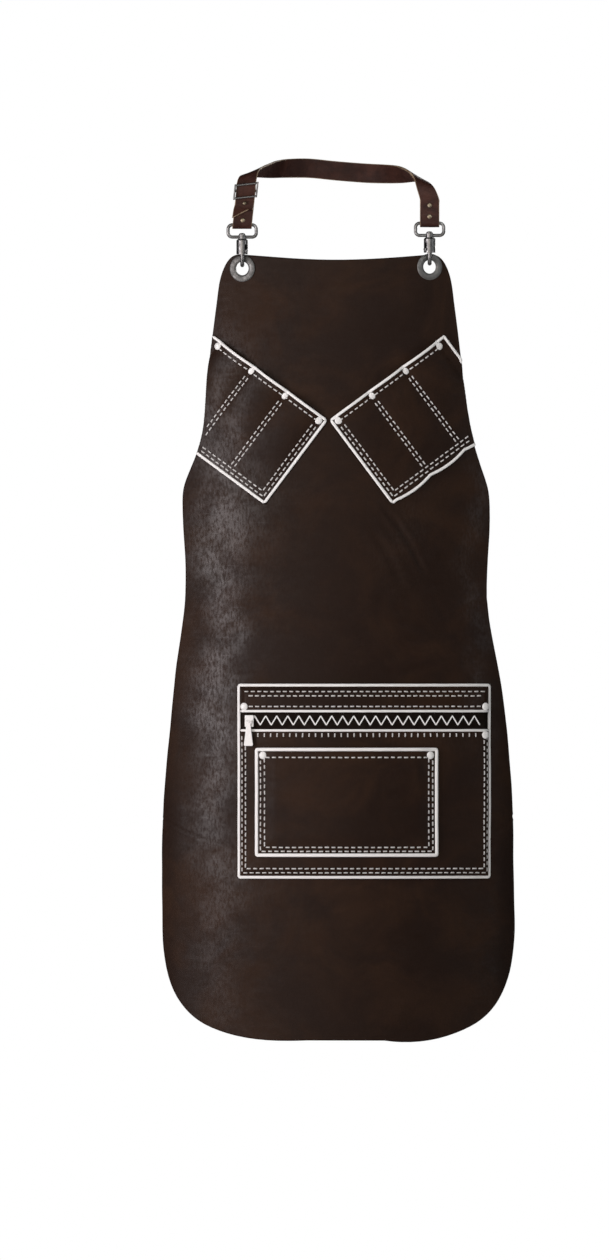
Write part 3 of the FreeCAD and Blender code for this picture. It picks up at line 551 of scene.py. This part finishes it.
def scallop(side, u):
    """How far the bottom edge of the right pocket bows out below each channel."""
    if side < 0:
        return 0 * u
    t = np.clip((u - SEAM0) / PITCH, -0.28, SLOTS - 0.001)
    f = t - np.floor(t)
    return 0.0026 * 4 * f * (1 - f)


def chest_height(u, v):
    """Outer face of a chest pocket above the panel."""
    t = (u - SEAM0) / PITCH
    f = t - np.floor(t)
    swell = np.clip(4 * f * (1 - f), 0, 1) ** 0.75
    swell = np.where((t < 0) | (t > SLOTS), 0, swell)
    fall = 1 - smooth((v - 0.02) / (DEPTH - 0.03))
    lip = 1 + 0.25 * np.exp(-(v / 0.006) ** 2)
    return 0.0016 + 0.0042 * swell * fall * lip


def chest_point(side, u, v, lift=0.0):
    x, z = chest_xz(side, u, v)
    return bent(x, z, relief(x, z) + chest_height(u, v) + lift)


# %% Chest pocket sheets
def chest_start(side, v):
    """Where the pocket runs out at the apron's own edge, along the mouth's way."""
    us = np.linspace(-0.01, MOUTH, 600)
    x, z = chest_xz(side, us, v)
    inside = np.abs(x) < np.abs(edge_x(side, z)) - 0.0004
    return us[np.argmax(inside)]


for side in (-1, 1):
    rows, cols = ((110, 150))
    vs = np.linspace(0, 1, rows)
    starts = np.array([max(-0.005, chest_start(side, v * DEPTH)) for v in vs])
    s = np.linspace(0, 1, cols)
    U = starts[:, None] * (1 - s) + MOUTH * s
    V = vs[:, None] * (DEPTH + scallop(side, U))
    P, N = chest_point(side, U, V)
    ob = grid_sheet(CHEST[side] + "_chest_pocket_leather", P, N, POCKET_T,
                    [apron_face, apron_back, cut_edge])
    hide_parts(CHEST[side] + "_chest_pocket")
    print(ob.name, "starts", round(float(starts[0]), 4), round(float(starts[-1]), 4))


# %% Lap and patch pockets: swell
def rect_of(node):
    lo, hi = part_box(node)
    return np.array([lo.x, lo.z, hi.x, hi.z])


LAP = rect_of("lap_pocket_piping")
PATCH = rect_of("patch_pocket")
ZIP_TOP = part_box("lap_pocket_top_strip")[0].z
ZIP_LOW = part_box("lap_pocket_front")[1].z


def inset(rect, x, z):
    return np.minimum(np.minimum(x - rect[0], rect[2] - x), np.minimum(z - rect[1], rect[3] - z))


def lap_height(x, z):
    d = inset(LAP, x, z)
    rise = smooth((d + 0.0004) / 0.0105)
    wave = 0.0005 * np.sin(x * 37 + 1.3) * smooth(d / 0.03) * (z < ZIP_LOW + 0.001)
    return 0.0017 + 0.0079 * rise + wave


def patch_height(x, z):
    d = inset(PATCH, x, np.minimum(z, PATCH[3] - 0.03))
    rise = smooth((d - 0.004) / 0.018)
    return 0.0015 + 0.0034 * rise * (0.55 + 0.45 * smooth((z - PATCH[1]) / 0.09))


def lap_point(x, z, lift=0.0):
    return bent(x, z, relief(x, z) + lap_height(x, z) + lift)


def patch_point(x, z, lift=0.0):
    return bent(x, z, relief(x, z) + lap_height(x, z) + patch_height(x, z) + lift)


def rect_sheet(name, x0, z0, x1, z1, place, step=0.0016):
    nx, nz = int((x1 - x0) / step) + 2, int((z1 - z0) / step) + 2
    X, Z = np.meshgrid(np.linspace(x0, x1, nx), np.linspace(z1, z0, nz))
    P, N = place(X, Z)
    ob = grid_sheet(name, P, N, LAP_T, [apron_face, apron_back, cut_edge])
    return ob


strip = rect_sheet("lap_pocket_strip_leather", LAP[0], ZIP_TOP, LAP[2], LAP[3], lap_point)
front = rect_sheet("lap_pocket_front_leather", LAP[0], LAP[1], LAP[2], ZIP_LOW, lap_point)
patch = rect_sheet("patch_pocket_leather", PATCH[0], PATCH[1], PATCH[2], PATCH[3], patch_point)
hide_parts("lap_pocket_top_strip")
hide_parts("lap_pocket_front")
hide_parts("patch_pocket")
print("lap", LAP.round(4), "patch", PATCH.round(4), "zip", round(ZIP_TOP, 4), round(ZIP_LOW, 4))

# %% [markdown]
# ## White piping, thread and rivets
# The white lines carry the look of this apron. A painted stripe would stay flat, so the
# piping is an oval bead, and every stitch is a short bead of thread sunk at both ends.

# %% Piping along every pocket edge
def line(a, b, step=0.002):
    return resample([a, b], step)


def path_on(place, pts, lift):
    pts = np.asarray(pts)
    return place(pts[:, 0], pts[:, 1], lift)


def bead(name, runs, node_name, half_w=0.0015, half_h=0.0010):
    ob = sweep(runs, name, piping_mat, half_w, half_h, 10)
    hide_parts(node_name)
    return ob


EDGE, PIPE_LIFT = 0.0014, 0.0002
for side in (-1, 1):
    place = lambda u, v, lift, s=side: chest_point(s, u, v, lift)
    v_end = DEPTH - EDGE
    u0 = max(-0.004, chest_start(side, EDGE))
    mouth = line((u0, EDGE), (MOUTH - EDGE, EDGE))
    inner = line((MOUTH - EDGE, EDGE), (MOUTH - EDGE, v_end))
    start = chest_start(side, v_end)
    bottom = line((MOUTH - EDGE, v_end), (start, v_end), 0.001)
    bottom[:, 1] += scallop(side, bottom[:, 0])
    runs = [path_on(place, p, PIPE_LIFT) for p in (mouth, inner, bottom)]
    if side > 0:
        vs = np.linspace(0.0, 0.034, 20)
        outer = np.stack([[max(-0.004, chest_start(side, v)) + 0.0006 for v in vs], vs], -1)
        runs.append(path_on(place, outer, PIPE_LIFT))
    bead(CHEST[side] + "_chest_pocket_piping", runs, CHEST[side] + "_chest_piping")


def rect_runs(rect, sides, d, past=0.0):
    """Runs inside the top, left, right or bottom of a rectangle, carried past its corners."""
    x0, z0, x1, z1 = rect[0] + d, rect[1] + d, rect[2] - d, rect[3] - d
    ends = {"t": ((x0 - past, z1), (x1 + past, z1)), "b": ((x0 - past, z0), (x1 + past, z0)),
            "l": ((x0, z1 + past), (x0, z0 - past)), "r": ((x1, z1 + past), (x1, z0 - past))}
    return [ends[k] for k in sides]


def piping_round(place, rect):
    """Beads on all four sides, which cross at the corners so that these come out square."""
    return [path_on(place, line(a, b), PIPE_LIFT) for a, b in rect_runs(rect, "tlrb", EDGE, 0.0011)]


bead("lap_pocket_edge_piping", piping_round(lap_point, LAP), "lap_pocket_piping", 0.0018)
window = [line((LAP[0] + 0.003, z), (LAP[2] - 0.003, z)) for z in (ZIP_TOP + 0.0012, ZIP_LOW - 0.0012)]
bead("zip_window_piping", [path_on(lap_point, p, PIPE_LIFT) for p in window], "zip_edge_piping",
     0.0013, 0.0009)
bead("patch_pocket_edge_piping", piping_round(patch_point, PATCH), "patch_pocket_piping", 0.0018)


# %% Stitches
STITCH, GAP = 0.0043, 0.0021


def stitches(place, runs, jitter=0.00006):
    """Short beads of thread along runs of flat coordinates, sunk at both ends."""
    out = []
    for a, b in runs:
        a, b = np.array(a), np.array(b)
        length = np.linalg.norm(b - a)
        count = max(1, int(round(length / (STITCH + GAP))))
        way = (b - a) / length
        across = np.array([-way[1], way[0]])
        for i in range(count):
            mid = a + way * (i + 0.5) * length / count + across * RNG.normal(0, jitter)
            half = STITCH / 2 * (1 + RNG.normal(0, 0.05))
            ts = np.array([-1, -0.86, -0.4, 0.4, 0.86, 1])
            pts = mid + way * (ts * half)[:, None] + across * (ts * RNG.normal(0, 0.00007))[:, None]
            lift = np.array([-0.0005, 0.0001, 0.00035, 0.00035, 0.0001, -0.0005])
            out.append(place(pts[:, 0], pts[:, 1], lift))
    return out


def seam_rows(rect, sides, *distances):
    """Rows of stitches at each distance in from the sides of a rectangle."""
    return [run for d in distances for run in rect_runs(rect, sides, d)]


def sew(name, place, runs):
    thread = sweep(stitches(place, runs), name, thread_mat, THREAD_W, THREAD_H, 6)


THREAD_W, THREAD_H = 0.00072, 0.00055
D1, D2 = 0.0058, 0.0100  # the two rows of stitches, in from the edge
for side in (-1, 1):
    place = lambda u, v, lift, s=side: chest_point(s, u, v, lift)
    runs = []
    u0 = max(0.002, chest_start(side, 0.0072) + 0.003)
    runs.append(((u0, 0.0072), (MOUTH - 0.007, 0.0072)))
    for d in (D1, D2):
        runs.append(((MOUTH - d, 0.012), (MOUTH - d, DEPTH - d)))
        runs.append(((chest_start(side, DEPTH - d) + 0.003, DEPTH - d), (MOUTH - d, DEPTH - d)))
    for i in (1, 2):
        seam = SEAM0 + i * PITCH
        for o in (-0.0019, 0.0019):
            v1 = DEPTH - D2 - 0.002
            while chest_start(side, v1) > seam + o - 0.003:
                v1 -= 0.004
            runs.append(((seam + o, 0.013), (seam + o, v1)))
    sew(CHEST[side] + "_chest_pocket_stitching", place, runs)

strip_rect = (LAP[0], ZIP_TOP, LAP[2], LAP[3])
front_rect = (LAP[0], LAP[1], LAP[2], ZIP_LOW)
lap_runs = seam_rows(strip_rect, "t", 0.0077, 0.0121) + seam_rows(strip_rect, "b", 0.0060)
lap_runs += seam_rows(front_rect, "lrb", D1, D2)
mouth_z = ZIP_LOW - 0.0060
mouth_bars = [((x, mouth_z - 0.0019), (x, mouth_z + 0.0019))
              for x in np.arange(LAP[0] + 0.016, LAP[2] - 0.014, STITCH + GAP)]
sew("lap_pocket_stitching", lap_point, lap_runs + mouth_bars)
patch_runs = seam_rows(PATCH, "lrb", 0.0053, 0.0094) + seam_rows(PATCH, "t", 0.0096)
sew("patch_pocket_stitching", patch_point, patch_runs)
print("stitch runs", len(lap_runs) + len(patch_runs))


# %% Rivets on the pockets
def domes(name, spots, radius, height, material, body="apron"):
    """Low round caps, turned from one curve, at (point, normal) spots."""
    prof = [(1.0, -0.3), (1.0, 0.10), (0.97, 0.28), (0.88, 0.48), (0.74, 0.68), (0.5, 0.88),
            (0.25, 0.97), (0.06, 1.0)]
    verts, faces, sides = [], [], 28
    for P, N in spots:
        P, N = Vector(P), Vector(N).normalized()
        A = N.orthogonal().normalized()
        B = N.cross(A)
        base = len(verts)
        for r, h in prof:
            for j in range(sides):
                t = 2 * math.pi * j / sides
                verts.append(P + (A * math.cos(t) + B * math.sin(t)) * r * radius + N * h * height)
        for i in range(len(prof) - 1):
            for j in range(sides):
                k = (j + 1) % sides
                faces.append((base + i * sides + j, base + i * sides + k,
                              base + (i + 1) * sides + k, base + (i + 1) * sides + j))
        faces.append(tuple(base + (len(prof) - 1) * sides + j for j in range(sides)))
    return new_object(name, verts, faces, [material], None, body)


spots = []
for side in (-1, 1):
    for i in range(SLOTS + 1):
        P, N = chest_point(side, np.array(SEAM0 + 0.0006 + i * (PITCH - 0.0004)), np.array(0.0062), 0.0002)
        spots.append((P, N))
for x, z in ((LAP[0] + 0.0086, ZIP_TOP + 0.0058), (LAP[2] - 0.0086, ZIP_TOP + 0.0058),
             (LAP[2] - 0.0086, ZIP_LOW - 0.0059)):
    spots.append(lap_point(np.array(x), np.array(z), 0.0002))
for x in (PATCH[0] + 0.0078, PATCH[2] - 0.0078):
    spots.append(patch_point(np.array(x), np.array(PATCH[3] - 0.0074), 0.0002))
caps = domes("pocket_rivet_caps", spots, 0.0040, 0.0017, enamel)
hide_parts("pocket_rivets")
print("rivet caps", len(spots))

# %% [markdown]
# ## Zip
# The closed zip is two dark tapes with a white zigzag over them. The zigzag is a bead
# that turns at every half pitch. The slider and its pull stay as the CAD pieces, which
# carry the joints.

# %% Tapes and zigzag
coil_lo, coil_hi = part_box("zip_coil")
ZIG_LOW, ZIG_TOP = coil_lo.z, coil_hi.z
ZIG_X0, ZIG_X1 = coil_lo.x, coil_hi.x
mid_z = (ZIG_LOW + ZIG_TOP) / 2
for name, node_name, za, zb in (
        ("upper_zip_tape", "zip_tape_upper", mid_z + 0.0002, ZIP_TOP + 0.004),
        ("lower_zip_tape", "zip_tape_lower", ZIP_LOW - 0.004, mid_z - 0.0002)):
    X, Zt = np.meshgrid(np.linspace(LAP[0] + 0.0045, LAP[2] - 0.0045, 120), np.linspace(zb, za, 10))
    P, N = lap_point(X, Zt, -0.0019 + 0 * X)
    tape = grid_sheet(name, P, N, TAPE_T, [tape_mat])
    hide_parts(node_name)
turns = int(round((ZIG_X1 - ZIG_X0) / 0.0055))
zig = []
for i in range(turns):
    xa, xb = (ZIG_X0 + (ZIG_X1 - ZIG_X0) * k / turns for k in (i, i + 1))
    za, zb = (ZIG_LOW + 0.0008, ZIG_TOP - 0.0012)[:: 1 if i % 2 == 0 else -1]
    zig.append(line((xa, za), (xb, zb), 0.0018))
zig_path = resample(np.concatenate(zig), 0.0009)
P, N = lap_point(zig_path[:, 0], zig_path[:, 1], -0.0010)
coil = sweep([(P, N)], "zip_zigzag", piping_mat, 0.00072, 0.0007, 8)
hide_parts("zip_coil")
teeth = []
for x in np.arange(ZIG_X0, ZIG_X1, 0.0016):
    tooth = [(x, mid_z - 0.0014), (x + 0.0003, mid_z), (x, mid_z + 0.0014)]
    teeth.append(path_on(lap_point, tooth, -0.0017))
chain = sweep(teeth, "zip_teeth", tape_mat, 0.0005, 0.0006, 6)
print("zigzag turns", turns)

# %% [markdown]
# ## Straps
# A strap is a ribbon with a real thickness: an outer face, an inner face and two pale
# cut edges. It is swept from a short list of places where its middle, its width and its
# outer face are known; between them a smooth curve fills in.

# %% Ribbons
BAR_R = 0.0017
HOOKS = {}
for side in ("left", "right"):
    lo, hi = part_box(side + "_swivel_eye")
    HOOKS[side] = np.array([(lo.x + hi.x) / 2, (lo.y + hi.y) / 2, hi.z - BAR_R])
STRAP_W, STRAP_T = 0.020, 0.0022
Y_HOOK = HOOKS["left"][1]
LEAN = 0.105


def curve_through(rows, per=12):
    """A smooth curve through rows of numbers, evenly parted between them."""
    K = np.asarray(rows, float)
    K = np.concatenate([[2 * K[0] - K[1]], K, [2 * K[-1] - K[-2]]])
    out = []
    for i in range(1, len(K) - 2):
        for t in np.linspace(0, 1, per, endpoint=False):
            a, b, c, d = K[i - 1], K[i], K[i + 1], K[i + 2]
            out.append(0.5 * (2 * b + (c - a) * t + (2 * a - 5 * b + 4 * c - d) * t * t
                              + (3 * b - 3 * c + d - a) * t ** 3))
    out.append(K[-2])
    return np.array(out)


def ribbon(name, rows, closed=False, slant=0.0, wobble=0.0):
    """rows: nine numbers each, the middle, the width's way and the outer face's way."""
    C = curve_through(rows) if not closed else curve_through(list(rows) + [rows[0]])[:-1]
    P, W, F = C[:, :3], C[:, 3:6], C[:, 6:9]
    W = W / np.linalg.norm(W, axis=1)[:, None]
    F = F - W * (F * W).sum(1)[:, None]
    F = F / np.linalg.norm(F, axis=1)[:, None]
    r = STRAP_T * 0.28
    hw, ht = STRAP_W / 2, STRAP_T / 2
    across = np.concatenate([np.linspace(-hw + r, hw - r, 14), [hw - r * 0.3, hw, hw, hw - r * 0.3],
                             np.linspace(hw - r, -hw + r, 14), [-hw + r * 0.3, -hw, -hw, -hw + r * 0.3]])
    out = np.concatenate([np.full(14, ht), [ht * 0.85, ht * 0.45, -ht * 0.45, -ht * 0.85],
                          np.full(14, -ht), [-ht * 0.85, -ht * 0.45, ht * 0.45, ht * 0.85]])
    k, n = len(across), len(P)
    s = np.arange(n)[:, None]
    ripple = wobble * np.sin(s * 0.23 + across[None] * 260) * (np.abs(across) < hw * 0.99)
    V = P[:, None] + W[:, None] * across[None, :, None] + F[:, None] * (out[None] + ripple)[..., None]
    if slant:
        shift = slant * across / STRAP_W
        T = P[1] - P[0]
        T = T / np.linalg.norm(T)
        for i in range(8):
            V[i] += T * (shift * (1 - i / 8))[:, None]
    verts = V.reshape(-1, 3)
    faces, index = [], []
    for i in range(n if closed else n - 1):
        a, b = i * k, ((i + 1) % n) * k
        for j in range(k):
            m = (j + 1) % k
            faces.append((a + j, a + m, b + m, b + j))
            index.append(0 if j < 13 else 2 if j < 17 else 1 if 17 < j < 31 else 2)
    if not closed:
        faces += [tuple(range(k))[::-1], tuple((n - 1) * k + j for j in range(k))]
        index += [2, 2]
    ob = new_object(name, verts, faces, [strap_face, strap_inner, raw_edge], index, "neck_strap")
    face_outwards(ob)
    length = np.linalg.norm(np.diff(P, axis=0), axis=1).sum()
    print(name, "length", round(float(length), 3))
    return ob, length


def half_gap(z, bar_z, pinch=0.010):
    """Middle of one layer of a folded strap end, out from the fold's middle."""
    wide, tight = BAR_R + 0.0003 + STRAP_T / 2, STRAP_T / 2 + 0.00003
    return wide + (tight - wide) * min(1.0, max(0.0, (z - bar_z) / pinch))


def fold_rows(bar, x_of, z_top_front, z_top_back):
    """Down the front, round the bar and up behind."""
    rows, r = [], half_gap(bar[2], bar[2])
    for z in np.arange(z_top_front, bar[2] + 0.001, -0.004):
        rows.append((x_of(z), bar[1] - half_gap(z, bar[2]), z, 1, 0, 0, 0, -1, 0))
    for a in (0, 45, 90, 135, 180):
        t = math.radians(a)
        z = bar[2] - r * math.sin(t)
        rows.append((x_of(z), bar[1] - r * math.cos(t), z, 1, 0, 0, 0, -math.cos(t), -math.sin(t)))
    for z in np.arange(bar[2] + 0.004, z_top_back + 0.0001, 0.004):
        rows.append((x_of(z), bar[1] + half_gap(z, bar[2]), z, 1, 0, 0, 0, 1, 0))
    return rows


# %% Short strap on the left, a loop round two bars
LEFT, RIGHT = HOOKS["left"], HOOKS["right"]
slide_lo, slide_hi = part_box("slide_buckle")
SLIDE_Z = (slide_lo.z + slide_hi.z) / 2


def lean_x(z):
    return LEFT[0] + LEAN * (z - LEFT[2])


mid = (LEFT[2] + SLIDE_Z) / 2
rows = fold_rows(LEFT, lean_x, mid, mid)
upper = []
r = half_gap(SLIDE_Z, SLIDE_Z)
for z in np.arange(mid + 0.003, SLIDE_Z - 0.001, 0.0035):
    upper.append((lean_x(z), Y_HOOK + half_gap(2 * SLIDE_Z - z, SLIDE_Z), z, 1, 0, 0, 0, 1, 0))
for a in (0, 45, 90, 135, 180):
    t = math.radians(a)
    z = SLIDE_Z + r * math.sin(t)
    upper.append((lean_x(z), Y_HOOK + r * math.cos(t), z, 1, 0, 0, 0, math.cos(t), math.sin(t)))
for z in np.arange(SLIDE_Z - 0.0035, mid + 0.001, -0.0035):
    upper.append((lean_x(z), Y_HOOK - half_gap(2 * SLIDE_Z - z, SLIDE_Z), z, 1, 0, 0, 0, -1, 0))
short, short_len = ribbon("short_buckle_strap", rows + upper, closed=True)
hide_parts("short_strap")

# %% Long strap: tail, buckle, shoulder, neck, shoulder and the right fold
LEFT_TO_RIGHT = (
    # middle in millimetres from the hooks' plane, the width's way, the outer face's way
    (lean_x(-0.046) / MM - 0.7, -7.2, -44.2, 1, 0, 0, 0, -1, 0.55),
    (lean_x(-0.041) / MM - 0.6, -4.9, -40.5, 1, 0, 0, 0, -1, 0.40),
    (lean_x(-0.036) / MM, -3.8, -36.0, 1, 0, 0, 0, -1, 0.05),
    (lean_x(-0.0295) / MM, -4.3, -29.5, 1, 0, 0, 0, -1, 0),
    (lean_x(-0.022) / MM, -5.7, -22.0, 1, 0, 0, 0, -1, 0),
    (-92.2, -4.4, -14.0, 1, 0, 0.03, 0, -1, 0.1),
    (-89.6, 1.5, -5.2, 1, 0.05, 0.25, -0.1, -0.7, 0.7),
    (-84.0, 18.0, -1.8, 1, 0.2, 0.5, -0.5, 0, 1),
    (-75.0, 42.0, -0.4, 0.8, 0.3, 0.8, -0.8, 0.2, 0.8),
    (-63.0, 70.0, 1.2, 0.4, 0.25, 1.0, -1, 0.5, 0.5),
    (-50.0, 90.0, 2.4, 0.15, 0.15, 1.0, -0.9, 1, 0.2),
    (-27.0, 102.4, 2.6, 0, 0.05, 1.0, -0.35, 1, 0),
    (0.0, 105.0, 0.0, 0, 0, 1, 0, 1, 0),
    (30.0, 102.2, -2.4, 0, 0.05, 1.0, 0.35, 1, 0),
    (52.0, 90.0, -3.4, -0.15, 0.15, 1.0, 0.9, 1, 0.2),
    (65.0, 70.0, -4.0, -0.4, 0.25, 1.0, 1, 0.5, 0.5),
    (76.0, 42.0, -4.8, -0.8, 0.3, 0.8, 0.8, 0.2, 0.8),
    (84.0, 18.0, -7.4, -1, 0.25, 0.6, 0.5, 0, 1),
    (90.0, 4.0, -13.5, -1, 0.1, 0.35, 0.1, -0.7, 0.7),
    (93.6, -0.6, -22.0, -1, 0, 0.1, 0, -1, 0.15),
)
rows = [(x * MM, Y_HOOK + y * MM, z * MM, *rest) for x, y, z, *rest in LEFT_TO_RIGHT]
for row in fold_rows(RIGHT, lambda z: RIGHT[0], -0.031, -0.031):
    rows.append((*row[:3], -1, 0, 0, *row[6:]))
long_strap, long_len = ribbon("long_neck_strap_leather", rows, slant=0.0135, wobble=0.00006)
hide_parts("long_neck_strap")

# %% Brass rivets through the straps
RIVET_INSET, RIVET_PITCH = 0.0033, 0.0116
spots = []
brass_lo, brass_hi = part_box("brass_rivets")
low_z, high_z = brass_lo.z + RIVET_INSET, brass_hi.z - RIVET_INSET
heights = {"left": (low_z,), "right": (high_z, high_z - RIVET_PITCH)}
for side, zs in heights.items():
    bar = HOOKS[side]
    for z in zs:
        x = lean_x(z) if side == "left" else bar[0]
        out = half_gap(z, bar[2]) + STRAP_T / 2
        for s in (-1, 1):
            spots.append(((x, bar[1] + s * (out - 0.0001), z), (0, s, 0)))
caps = domes("strap_rivet_heads", spots, 0.0024, 0.0009, brass, "neck_strap")
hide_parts("brass_rivets")
print("strap rivet heads", len(spots))

# %% [markdown]
# ## Metal from the CAD frame
# The hooks, eyelets, buckle, stud, slider and pull are shown as they came, with small
# bevels so that their edges catch light, and plated finishes with a little tarnish.

# %% Finishes of the CAD pieces
LOOK = {"nickel": nickel, "buckle_nickel": nickel, "brass": brass, "spring_steel": steel,
        "zip_white": enamel}
slots = {p["node"]: p["material_slot"] for p in frame["record"]["subparts"]}
for name, ob in NODES.items():
    if ob.hide_render:
        continue
    me = ob.data
    me.materials.clear()
    me.materials.append(eyelet_plate if "eyelet" in name else LOOK[slots[name]])
    me.polygons.foreach_set("material_index", np.zeros(len(me.polygons), np.int32))
    me.polygons.foreach_set("use_smooth", np.ones(len(me.polygons), bool))
    me.set_sharp_from_angle(angle=math.radians(35))
    me.update()
    bevel = ob.modifiers.new("soft edges", "BEVEL")
    bevel.width, bevel.segments, bevel.limit_method = 0.00025, 2, "ANGLE"
    bevel.angle_limit = math.radians(40)
    bevel.harden_normals = False
    print("shown from CAD:", name)

# %% [markdown]
# ## Room, light and camera
# The backdrop is plain white and the leather is very dark, so white walls would wash it
# out. The room is bright to the camera but dim to the leather. A tall soft box on the
# left draws the grey sheen down that side, a narrow one on the right finds the edge, a
# wide one fills the front, another the back, and a small one lifts the hooks.

# %% Room
world = bpy.data.worlds.new("studio")
bpy.context.scene.world = world
world.use_nodes = True
t = world.node_tree
t.nodes.clear()
seen = node(t, "ShaderNodeLightPath")
white = node(t, "ShaderNodeBackground", {"Color": (1, 1, 1, 1), "Strength": 1.0})
dim = node(t, "ShaderNodeBackground", {"Color": (0.95, 0.97, 1.0, 1), "Strength": 0.04})
pick = node(t, "ShaderNodeMixShader", {0: seen.outputs["Is Camera Ray"], 1: dim.outputs[0],
                                      2: white.outputs[0]})
node(t, "ShaderNodeOutputWorld", {0: pick.outputs[0]})

floor_mat = bpy.data.materials.new("Pale floor")
floor_mat.use_nodes = True
t = floor_mat.node_tree
t.nodes.clear()
seen = node(t, "ShaderNodeLightPath")
glow = node(t, "ShaderNodeEmission", {"Color": (1, 1, 1, 1), "Strength": 1.0})
matte = node(t, "ShaderNodeBsdfDiffuse", {"Color": (0.8, 0.8, 0.8, 1)})
pick = node(t, "ShaderNodeMixShader", {0: seen.outputs["Is Camera Ray"], 1: matte.outputs[0],
                                      2: glow.outputs[0]})
node(t, "ShaderNodeOutputMaterial", {0: pick.outputs[0]})
bpy.ops.mesh.primitive_plane_add(size=3.0, location=(0, 0, PANEL_LOW.z - 0.35))
floor = bpy.context.object
floor.name = "floor"
floor.data.materials.append(floor_mat)


# %% Lights
def softbox(name, place, target, size, power, colour):
    data = bpy.data.lights.new(name, "AREA")
    data.shape = "RECTANGLE"
    data.size, data.size_y = size
    data.energy, data.color = power, colour
    ob = bpy.data.objects.new(name, data)
    bpy.context.scene.collection.objects.link(ob)
    ob.location = place
    ob.rotation_euler = (Vector(target) - Vector(place)).to_track_quat("-Z", "Y").to_euler()
    return ob


def around(angle, reach, z):
    a = math.radians(angle)
    return (-0.125 - math.sin(a) * reach, -0.10 - math.cos(a) * reach, z)


softbox("left key", around(49, 1.9, -0.48), (-0.10, -0.10, -0.48), (0.55, 1.60), 27, (1.0, 0.93, 0.95))
softbox("right rim", (1.9, -0.85, -0.40), (0.15, -0.08, -0.40), (0.35, 1.5), 5.0, (0.98, 0.98, 1.0))
softbox("front fill", (-0.9, -3.3, 0.1), (0, -0.1, -0.48), (2.0, 1.6), 27, (1.0, 0.92, 0.84))
softbox("back fill", (1.2, 2.6, 0.6), (0, 0.0, -0.45), (1.6, 1.6), 45, (1.0, 0.97, 0.94))
softbox("hook light", (0.35, -1.0, 0.35), (0, -0.1, -0.08), (0.5, 0.35), 3, (1, 1, 1))

# %% Camera
REACH, VIEW_HEIGHT = 36.0, 1.2978  # far off, so that the view is nearly parallel
camera_data = bpy.data.cameras.new("camera")
camera = bpy.data.objects.new("camera", camera_data)
bpy.context.scene.collection.objects.link(camera)
camera.location = (-0.0324, -REACH - 0.105, -0.4743)
camera.rotation_euler = (math.radians(90), 0, 0)
camera_data.sensor_fit = "VERTICAL"
camera_data.sensor_height = 24.0
camera_data.lens = camera_data.sensor_height * REACH / VIEW_HEIGHT
camera_data.clip_end = 100.0
camera_data.dof.use_dof = False
bpy.context.scene.camera = camera
bpy.context.scene.view_settings.view_transform = "Standard"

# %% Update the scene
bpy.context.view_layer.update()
